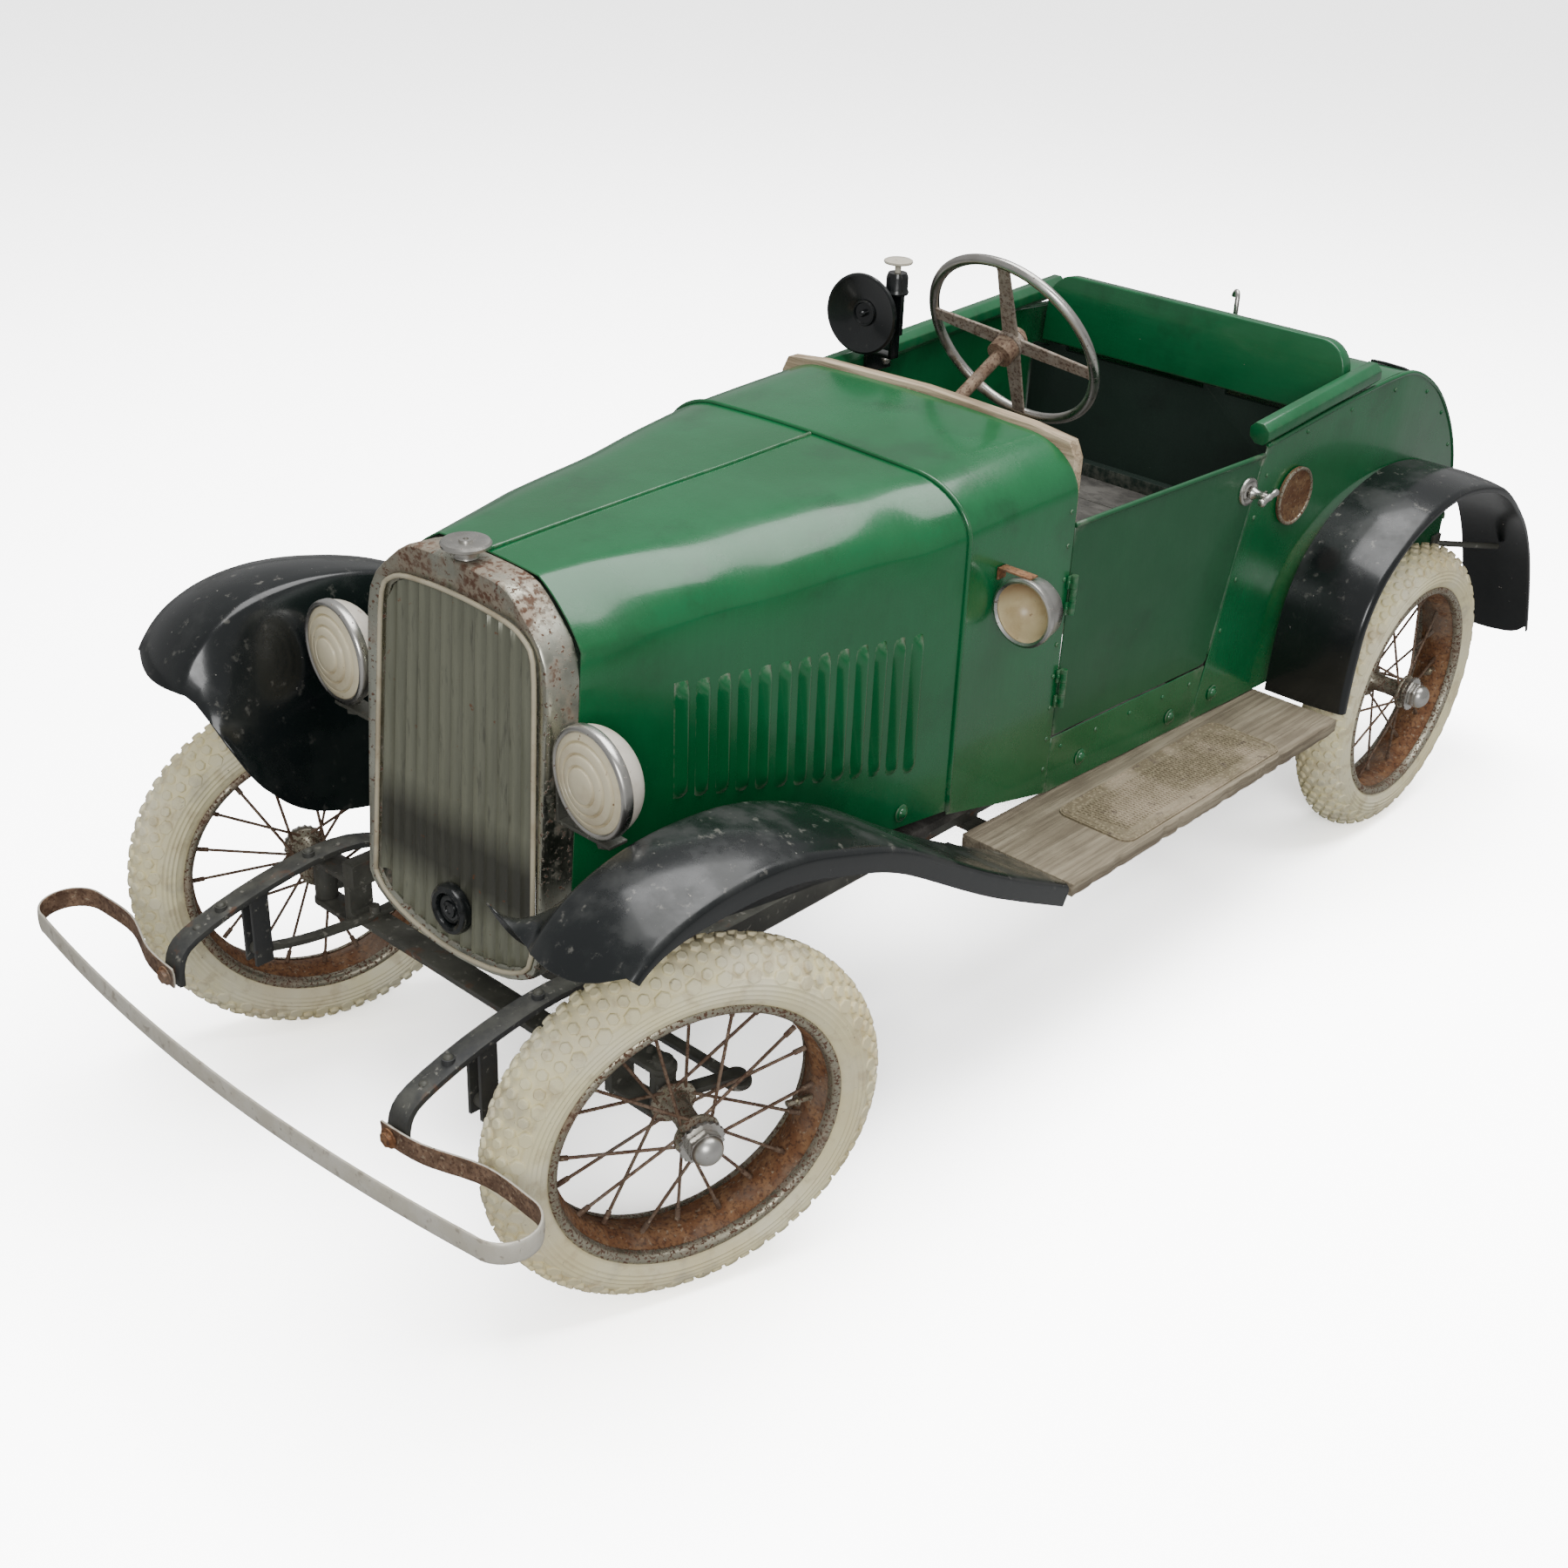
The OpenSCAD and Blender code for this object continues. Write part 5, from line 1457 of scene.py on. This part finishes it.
# %% [markdown]
# ### Floor, seat and other wood
# The floor and the seat are planks with small gaps. The bulkhead, seat back, dash and
# coaming rails keep the outline of their solids, with edges worn round.

# %% Floor, seat and dash
floor_planks = []
for side in SIDES.values():
    for x0, x1 in ((86, 110.4), (111.4, 136.6), (137.6, 162)):
        a, b = sorted((side * x0, side * x1))
        floor_planks.append(box("floor_plank", (a, -185, 212), (b, 432, 221), 0.8))
done(joined("floor_planks", floor_planks), seat_grey, "floor_boards")
seat_parts = [box("seat_plank", (-184, y0, 316), (184, y1, 328), 1.0)
              for y0, y1 in ((236, 298), (299, 361), (362, 423))]
seat_parts += [box("seat_front", (-184, 236, 244), (184, 250, 315.8), 1.0)]
for side in SIDES.values():
    a, b = sorted((side * 100, side * 184))
    seat_parts.append(box("seat_leg", (a, 236.4, 221), (b, 249.6, 244), 0.8))
done(joined("seat_planks", seat_parts), seat_grey, "seat_board")
done(softened("seat_bulkhead", 0.5), dark_green, "seat_bulkhead")
back = softened("seat_back_board", 2.2, 3)
done(back, wood_green, "seat_back_board")
done(softened("dash_board", 1.4), bare, "dash_board")
done(softened("coaming_rails", 1.2, 2), wood_green, "coaming_rails")
print(len(floor_planks), "floor planks and", len(seat_parts), "seat pieces")

# %% [markdown]
# ## Wheels
# One wheel is modelled with its axle along Z, then copied and turned into its four
# places. The tyre is a turned band with low rings on its side wall, and its tread is
# staggered rows of small blocks: one pitch is modelled, then spun round the axle.

# %% Tyre
TUBE_AT = 130.2


def tyre_profile():
    points = []
    for k in range(-112, 113, 4):
        a = math.radians(k)
        size = 25.7 if abs(k) < 66 else 27.5
        if abs(k) in (76, 84, 92, 100):
            size = 28.3
        points.append((TUBE_AT + size * math.cos(a), size * math.sin(a)))
    return points + [(117, 23.2), (114, 20.5), (114, -20.5), (117, -23.2), points[0]]


tyre = lathe("tyre_master", tyre_profile(), 128)
PITCHES = 38
blocks = []
for shift, places in ((0, (0, 25, 51)), (0.5, (12.5, 38, 64))):
    for angle in places:
        for sign in ((1, -1) if angle else (1,)):
            a = math.radians(angle * sign)
            size = 5.6 if angle > 60 else 4.7
            deselect()
            bpy.ops.mesh.primitive_cone_add(vertices=6, radius1=size + 0.4, radius2=size - 0.3, depth=0.0046)
            block = bpy.context.object
            block.scale = (0.001, 0.001, 1)
            settle(block)
            stretch = Matrix.Diagonal((1.05, 1.25 if angle > 60 else 0.95, 1, 1))
            lift = TUBE_AT / 1000
            spin = Matrix.Rotation(2 * math.pi * shift / PITCHES, 4, "Z")
            lean = Matrix.Rotation(math.pi / 2 - a, 4, "Y")
            settle(block, spin @ Matrix.Translation((lift, 0, 0)) @ lean
                   @ Matrix.Translation((0, 0, 0.0261)) @ stretch @ Matrix.Rotation(math.pi / 8, 4, "Z"))
            bevel(block, 0.7, 1, 60)
            blocks.append(block)
tread = joined("tread", blocks)
bpy.ops.object.mode_set(mode="EDIT")
bpy.ops.mesh.select_all(action="SELECT")
bpy.ops.mesh.spin(steps=PITCHES - 1, angle=2 * math.pi * (PITCHES - 1) / PITCHES, center=(0, 0, 0),
                  axis=(0, 0, 1), dupli=True)
bpy.ops.object.mode_set(mode="OBJECT")
tyre = joined("tyre_master", [tyre, tread])
smooth(tyre, 40)

print("tyre", len(tyre.data.polygons), "faces")


# %% [markdown]
# ### Rim
# The barrel is a deep well that has rusted, and the two rolled lips that hold the tyre
# still carry plating, so they are separate pieces with their own finish.

# %% Rim
barrel = lathe("barrel_master", [(115.9, 21.5), (112.2, 22.2), (110.8, 19), (109.6, 15), (107.4, 10.5),
                                 (105.6, 5), (105.0, 0), (105.6, -5), (107.4, -10.5), (109.6, -15),
                                 (110.8, -19), (112.2, -22.2), (115.9, -21.5), (114, -12), (109, -8),
                                 (109, 8), (114, 12), (115.9, 21.5)], 96)
smooth(barrel, 45)
lips = []
for sign in (1, -1):
    profile = [(109.4, 18), (109.8, 22.4), (111.4, 25), (113.8, 25.9), (116.4, 25.6), (117.6, 24),
               (116.8, 21.5), (113, 20.3), (109.4, 18)]
    lips.append(lathe("lip", [(r, sign * h) for r, h in profile], 96))
rim_lips = smooth(joined("lips_master", lips), 50)

print("rim lips", len(rim_lips.data.polygons), "faces")


# %% [markdown]
# ### Spokes
# Wire spokes leave each hub flange at a slant and cross their neighbours on the way to
# the rim, where each ends in a nipple.

# %% Spokes
spokes = []
SPOKES = 20
for i in range(SPOKES):
    side, a = (1 if i % 2 == 0 else -1), 2 * math.pi * i / SPOKES
    swing = a + math.radians((1 if i % 4 < 2 else -1) * 35)
    hub_end = Vector((15 * math.sin(swing), -15 * math.cos(swing), side * 18.5)) / 1000
    rim_end = Vector((104.6 * math.sin(a), -104.6 * math.cos(a), side * 3)) / 1000
    spokes.append(rod("spoke", hub_end, rim_end, 1.35, 8))
    spokes.append(rod("nipple", rim_end.lerp(hub_end, 0.11), rim_end, 2.2, 8))
spoke_set = smooth(joined("spokes_master", spokes), 50)

print(SPOKES, "spokes")


# %% [markdown]
# ### Hub, valve and axle nut
# The hub is a spool with two flanges. The nut is a serrated washer, a hexagon and a
# domed cover, and it stays with the axle while the wheel turns.

# %% Hub and nut
hub = lathe("hub_master", [(0, -26), (11, -26), (11.6, -23.6), (13, -22.4), (18, -21.6), (18.5, -20),
                           (18, -18.4), (12.4, -17.4), (9.6, -12), (9, 0), (9.6, 12), (12.4, 17.4),
                           (18, 18.4), (18.5, 20), (18, 21.6), (13, 22.4), (11.6, 23.6), (11, 26),
                           (0, 26)], 48)
smooth(hub, 40)
valve = rod("valve_master", Vector((0.012, 0.104, 0.004)), Vector((0.010, 0.082, 0.006)), 2.6, 12)
valve_nut = rod("valve_nut", Vector((0.0112, 0.0925, 0.005)), Vector((0.0110, 0.0900, 0.0053)), 4.2, 8)
hub = joined("hub_master", [hub, valve, valve_nut])

TEETH = 20
teeth = []
for k in range(2 * TEETH):
    reach, a = (18.5 if k % 2 else 17), math.pi * k / TEETH
    teeth.append((reach * math.cos(a), reach * math.sin(a)))
washer = plate("washer", teeth, 2.9)
settle(washer, Matrix.Translation((0, 0, 0.0271)))
deselect()
bpy.ops.mesh.primitive_cylinder_add(vertices=6, radius=0.0138, depth=0.007, location=(0, 0, 0.0335))
hexagon = settle(named("hexagon"), Matrix.Rotation(math.pi / 6, 4, "Z"))
bevel(hexagon, 0.8, 2, 30)
dome = lathe("dome", [(0, 36.4), (12.6, 36.4), (12.8, 37)] + [(12.6 * math.cos(a), 37.1 + 10.8 * math.sin(a))
             for a in (math.pi / 2 * k / 10 for k in range(11))], 40)
nut = smooth(joined("nut_master", [washer, hexagon, dome]), 34)
print("nut", len(nut.data.polygons), "faces")

# %% [markdown]
# ### Four wheels
# The rear wheels stand upright. The front wheels are leaned outwards at the top and are
# turned to the car's right, as they were left. A mirrored copy has its faces turned back.

# %% Four wheels from the one
LATHE_TO_X = Matrix.Rotation(math.pi / 2, 4, "Y")
KINGPIN_X = 209
STUB_LENGTH = 0.039
FRONT_HUB_HEIGHT = 0.158683
REAR_HUB_HEIGHT = 159
CAMBER = 4
STEERED = -19.5


def wheel_place(end, side):
    mirror = Matrix.Diagonal((side, 1, 1, 1))
    if end == "rear":
        return at(side * HALF_TRACK, REAR_Y, REAR_HUB_HEIGHT) @ mirror @ LATHE_TO_X
    camber = Matrix.Rotation(math.radians(side * CAMBER), 4, "Y")
    outward = Matrix.Translation((side * STUB_LENGTH, 0, FRONT_HUB_HEIGHT)) @ camber
    return at(side * KINGPIN_X, FRONT_Y, 0, 0, 0, STEERED) @ outward @ mirror @ LATHE_TO_X


nuts = {}
for end in ("front", "rear"):
    for name, side in SIDES.items():
        spot = wheel_place(end, side)
        label = end + "_" + name
        for master, piece_name, finish, node, slot in (
                (tyre, "tyre_" + label + "_cast", tyre_cream, "tyre_" + label, "tyre_cream"),
                (barrel, "rim_barrel_" + label, rim_rust, "wheel_" + label, "rust_steel"),
                (rim_lips, "rim_lips_" + label, rim_plate, "wheel_" + label, "wheel_plated"),
                (spoke_set, "spokes_" + label, spoke_rust, "wheel_" + label, "rust_steel"),
                (hub, "hub_" + label, rim_plate, "wheel_" + label, "wheel_plated")):
            piece = settle(copy_of(master, piece_name), spot)
            if side < 0:
                mend(piece, 1e-7)
            done(piece, finish, node, slot=slot)
        nuts[label] = settle(copy_of(nut, "axle_nut_" + label), spot)
        if side < 0:
            mend(nuts[label], 1e-7)
deselect()
for master in (tyre, barrel, rim_lips, spoke_set, hub, nut):
    master.select_set(True)
bpy.ops.object.delete()
for name in SIDES:
    done(nuts["front_" + name], bright_plate, "stub_axle_" + name, slot="wheel_plated", hide=False)
done(joined("axle_nuts_rear", [nuts["rear_left"], nuts["rear_right"]]), bright_plate, "crank_axle",
     slot="wheel_plated", hide=False)
print(len(nuts), "wheels")

# %% [markdown]
# ## Bumper
# The bumper is one springy blade, plated outside and rusted inside. It is a narrow sheet
# along one path, and the wall that Solidify adds takes the second finish.

# %% Bumper
half = [(268 * k / 18, -778 + 20 * (k / 18) ** 2) for k in range(18)]
half += arc(268, -731, 27, -90, 90, 18)
half += spline([(268, -704), (220, -704), (170, -720), (130, -723.6)], 5)[1:]
blade_path = [(-x, y) for x, y in reversed(half[1:])] + half
blade_rows = []
for k in range(7):
    z = 176 + 3 * k
    rows_in = 0.9 * (abs(k - 3) / 3) ** 2
    row = []
    for i, (x, y) in enumerate(blade_path):
        a, b = blade_path[max(i - 1, 0)], blade_path[min(i + 1, len(blade_path) - 1)]
        run = Vector((b[0] - a[0], b[1] - a[1])).normalized()
        row.append(place(x - run[1] * rows_in, y + run[0] * rows_in, z))
    blade_rows.append(row)
blade = blanket("bumper_blade", blade_rows)
blade.data.materials.append(blade_plate)
blade.data.materials.append(blade_rust)
modify(blade, "SOLIDIFY", thickness=0.0022, offset=-1, material_offset=1)
bevel(blade, 0.5, 1, 60)
done(smooth(blade, 50), None, "bumper")
bolt_parts = []
for side in SIDES.values():
    bolt_parts.append(rod("blade_bolt", place(side * 140, -730.5, 184), place(side * 140, -724.8, 184), 6, 6))
    bolt_parts.append(rod("blade_washer", place(side * 140, -727.5, 184),
                          place(side * 140, -726.4, 184), 8, 24))
done(joined("bumper_bolts", bolt_parts), rim_rust, "bumper", slot="rust_steel", hide=False)

print("blade", len(blade.data.polygons), "faces")


# %% [markdown]
# ## Springs and running gear
# The bars, brackets, levers and rods keep the shape of their solid, with worn, rounded
# edges. The axles lose the stand-in for their nut, which is modelled above.

# %% Softened bars, brackets and levers
SOFT_NODES = [
    ("dumb_irons", iron, 1.1), ("front_axle", grey, 0.8), ("leaf_springs", grey, 0.5),
    ("chassis", grey, 0.8), ("axle_brackets", grey, 0.8), ("column_bracket", grey, 0.8),
    ("track_rod", grey, 0.7), ("stub_axle_left", grey, 0.8), ("stub_axle_right", grey, 0.8),
    ("crank_axle", grey, 0.8), ("pedal_left", iron, 1.0), ("pedal_right", iron, 1.0),
    ("pedal_rod_left", grey, 0.5), ("pedal_rod_right", grey, 0.5), ("steering_column", column_rust, 0.5),
]
NUT_FROM = 0.0275


def outside_nut(side):
    """Tells which points of a front stub lie in its nut, which is modelled separately."""
    unturn = (wheel_place("front", side) @ LATHE_TO_X.inverted()).inverted()
    return lambda point: (unturn @ point).x > NUT_FROM


CUTS = {"stub_axle_left": outside_nut(1), "stub_axle_right": outside_nut(-1),
        "crank_axle": lambda point: abs(point.x) > HALF_TRACK / 1000 + NUT_FROM}
for node, finish, edge in SOFT_NODES:
    done(softened(node, edge, cut=CUTS.get(node)), finish, node)

print(len(SOFT_NODES), "softened bars and brackets")


# %% [markdown]
# ### Rivets on the irons and ribs on the pedals
# Large flat rivets hold the irons together. Each pedal has five ribs for the shoe.

# %% Rivets and pedal ribs
iron_rivets = []
for side in SIDES.values():
    for y, z in ((-482, 220.8), (-512, 221), (-588, 239.8), (-672, 224.8), (-694, 213.5)):
        iron_rivets.append((side * 140, y, z, (0, 0, 1)))
done(domes("iron_rivets", iron_rivets, 4.0, 2.6, 14), grey, "dumb_irons", hide=False)

CRANK_THROW = 34
LEVER_REACH = 190
RIBS = 5
for side, node in ((1, "pedal_left"), (-1, "pedal_right")):
    swing = math.asin(CRANK_THROW / LEVER_REACH) * -side
    where = at(0, -200, 452) @ Matrix.Rotation(swing, 4, "X")
    treads = []
    for k in range(RIBS):
        deselect()
        bpy.ops.mesh.primitive_cube_add(size=1, scale=(0.058, 0.003, 0.004),
                                        location=(side * 0.063, 0.0152, -0.136 + 0.0115 * k))
        rib = settle(bpy.context.object)
        bevel(rib, 0.8)
        treads.append(settle(rib, where))
    ribs = joined(node + "_ribs", treads)
    done(ribs, black, node, slot="black_paint", hide=False)
print(len(iron_rivets), "iron rivets and", 2 * RIBS, "pedal ribs")

# %% [markdown]
# ## Steering wheel
# The rim is a plated tube, a little squared, on four flat spokes that have rusted.

# %% Steering wheel and column nut
WHEEL_AT = at(0, 124, 558, -63) @ Matrix.Rotation(math.radians(-12.17), 4, "Z")
rim_ring = []
for k in range(20):
    a = 2 * math.pi * k / 20
    square = 1.0 - 0.07 * abs(math.sin(2 * a)) ** 3
    rim_ring.append((89.8 + 5.2 * math.cos(a) * square, 5.2 * math.sin(a) * square))
hand_rim = lathe("hand_rim", rim_ring + rim_ring[:1], 128)
done(settle(smooth(hand_rim, 60), WHEEL_AT), bright_plate, "steering_wheel", slot="chrome_worn")
arms = []
for k in range(4):
    arm = plate("arm", [(10, -8.6), (84, -6.6), (86.5, -7.6), (86.5, 7.6), (84, 6.6), (10, 8.6)], 2.8)
    turn = Matrix.Rotation(math.radians(20 + 90 * k), 4, "Z")
    settle(arm, turn @ Matrix.Translation((0, 0, -0.0038)))
    arms.append(arm)
    rib = plate("arm_rib", [(13, -2.2), (80, -1.6), (80, 1.6), (13, 2.2)], 1.3)
    arms.append(settle(rib, turn @ Matrix.Translation((0, 0, -0.0014))))
boss = lathe("boss", [(3.1, -7.4), (13.6, -7.4), (14, -6), (14, 1.2), (13, 2.4), (10, 2.6), (3.1, 2.6),
                      (3.1, -7.4)], 48)
spider = joined("hand_wheel_spider", arms + [boss])
bevel(spider, 0.5, 1, 40)
done(settle(smooth(spider), WHEEL_AT), arm_steel, "steering_wheel", slot="rust_steel")
cone = lathe("column_nut", [(0, 2.8), (13.3, 2.8), (13.5, 4), (12, 6.8), (8, 10.6), (7.3, 11.3), (5, 11.9),
                            (0, 12)], 32)
done(settle(smooth(cone, 40), WHEEL_AT), column_rust, "steering_column", hide=False)

print("steering wheel rim", len(hand_rim.data.polygons), "faces")


# %% [markdown]
# ## Horn
# A turned black disc stands on a bent strip bolted to the right side, and a sprung ivory
# button sits in a sleeve on top of the strip.

# %% Horn and button
HORN_AT = at(-150, 83, 558, 90, 0, 8)
disc = lathe("horn_disc", [(0, -5), (9.5, -5), (10.4, -3.4), (11.6, -3.2), (12.6, -5), (14.4, -4.4), (20, -3),
                           (30, -0.6), (36.4, 1.8), (38.4, 1.2), (39, -1.4), (37.4, -4), (34, -9),
                           (27.4, -15), (25.4, -19), (24.6, -27), (22, -29.8), (0, -30)], 80)
spindle = lathe("horn_spindle", [(0, -5), (3.2, -5), (3.2, -1), (2, 0.6), (0, 0.8)], 20)
horn_parts = [settle(smooth(disc, 34), HORN_AT), settle(smooth(spindle, 34), HORN_AT)]
horn_parts += [box("horn_arm", (-152, 107.2, 538), (-122, 113, 579), 0.8),
               box("horn_post", (-134, 107, 513), (-130, 119, 579), 0.8),
               box("horn_shelf", (-164, 107, 513), (-130, 119, 517), 0.8),
               box("horn_foot", (-164, 107, 492), (-160, 145, 517), 0.8)]
sleeve = lathe("horn_sleeve", [(3.5, 578.2), (11, 578.2), (11.8, 580), (10.6, 583), (10.6, 594), (9, 598.6),
                               (3.5, 598.6), (3.5, 578.2)], 32)
horn_parts.append(settle(smooth(sleeve, 34), at(-128, 107, 0)))
done(joined("bulb_horn", horn_parts), horn_black, "horn")
post_bolt = domes("horn_post_bolt", [(-160, 137, 501, (1, 0, 0))], 5.4, 4.4, 18)
done(post_bolt, bright_plate, "horn", slot="chrome_worn", hide=False)
knob = lathe("horn_knob", [(0, 589.2), (3, 589.2), (3, 606.4), (8, 606.9), (13.2, 607.4), (14, 608.6),
                           (13.8, 610), (12, 611), (6, 610.6), (3.4, 610.2), (3, 611), (0, 611)], 48)
done(settle(smooth(knob, 40), at(-128, 107, 0)), ivory, "horn_button")

print("horn:", len(horn_parts), "parts")


# %% [markdown]
# ## Door handle, hook and strap
# The handle is a T on a turned spindle through the door. A bent wire hook and a short
# strap on the tail once held a folding hood.

# %% Door handle, hook and strap
HANDLE_X = body_x(258)
handle_parts = [rod("spindle", place(HANDLE_X - 9.8, 258, 431), place(HANDLE_X + 23, 258, 431), 3.5, 20),
                box("latch_tongue", (HANDLE_X - 10, 253, 428), (HANDLE_X - 7, 272, 434), 0.5)]
collar = lathe("collar", [(3.4, 5), (6.2, 5), (6.6, 7), (5.2, 9), (4.4, 12), (4.2, 16), (5.6, 19), (3.4, 19),
                          (3.4, 5)], 32)
handle_parts.append(settle(smooth(collar, 40), at(HANDLE_X, 258, 431, 0, 90, 0)))
bar_profile = [(0, -15)] + [(4 * math.sin(a), -12.2 - 2.8 * math.cos(a)) for a in (0.5, 1.0, 1.57)]
bar_profile += [(3.2, -8), (2.9, -3), (3.8, 0), (2.9, 3), (3.2, 8)]
bar_profile += [(4 * math.sin(a), 12.2 + 2.8 * math.cos(a)) for a in (1.57, 1.0, 0.5)] + [(0, 15)]
grip = lathe("handle_bar", bar_profile, 28)
handle_parts.append(settle(smooth(grip, 40), at(HANDLE_X + 23, 258, 431, -78, 0, 0)))
done(joined("door_handle_bar", handle_parts), bright_plate, "door_handle")

hook_path = spline([(15, 500, 491), (15, 500, 512), (14, 501, 528), (12, 504, 539), (8, 507, 541),
                    (5, 508, 535)], 5)
hook = tube("hood_hook", [place(*p) for p in hook_path], 2.6, 12, up=Vector((0, 1, 0)))
hook_plate = box("hook_plate", (4, 492, 491), (26, 508, 494), 0.8)
done(joined("hood_hook", [hook, hook_plate]), bright_plate, "tail_skin", slot="chrome_worn", hide=False)
strap_rows = []
for y, z in [p for p in TAIL_EDGE if 545 < p[0] < 612]:
    strap_rows.append([place(150 + 5 * k, y, z + 2.6 + 0.8 * math.sin(math.pi * k / 7)) for k in range(8)])
strap = sheet_metal("hood_strap", strap_rows, gauge=3.0)
done(strap, horn_black, "tail_skin", slot="black_paint", hide=False)

shown = [name for name, node in frame["nodes"].items() if not node.hide_render]
print(len(made), "pieces; frame nodes still showing:", shown)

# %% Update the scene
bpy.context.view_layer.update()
import json
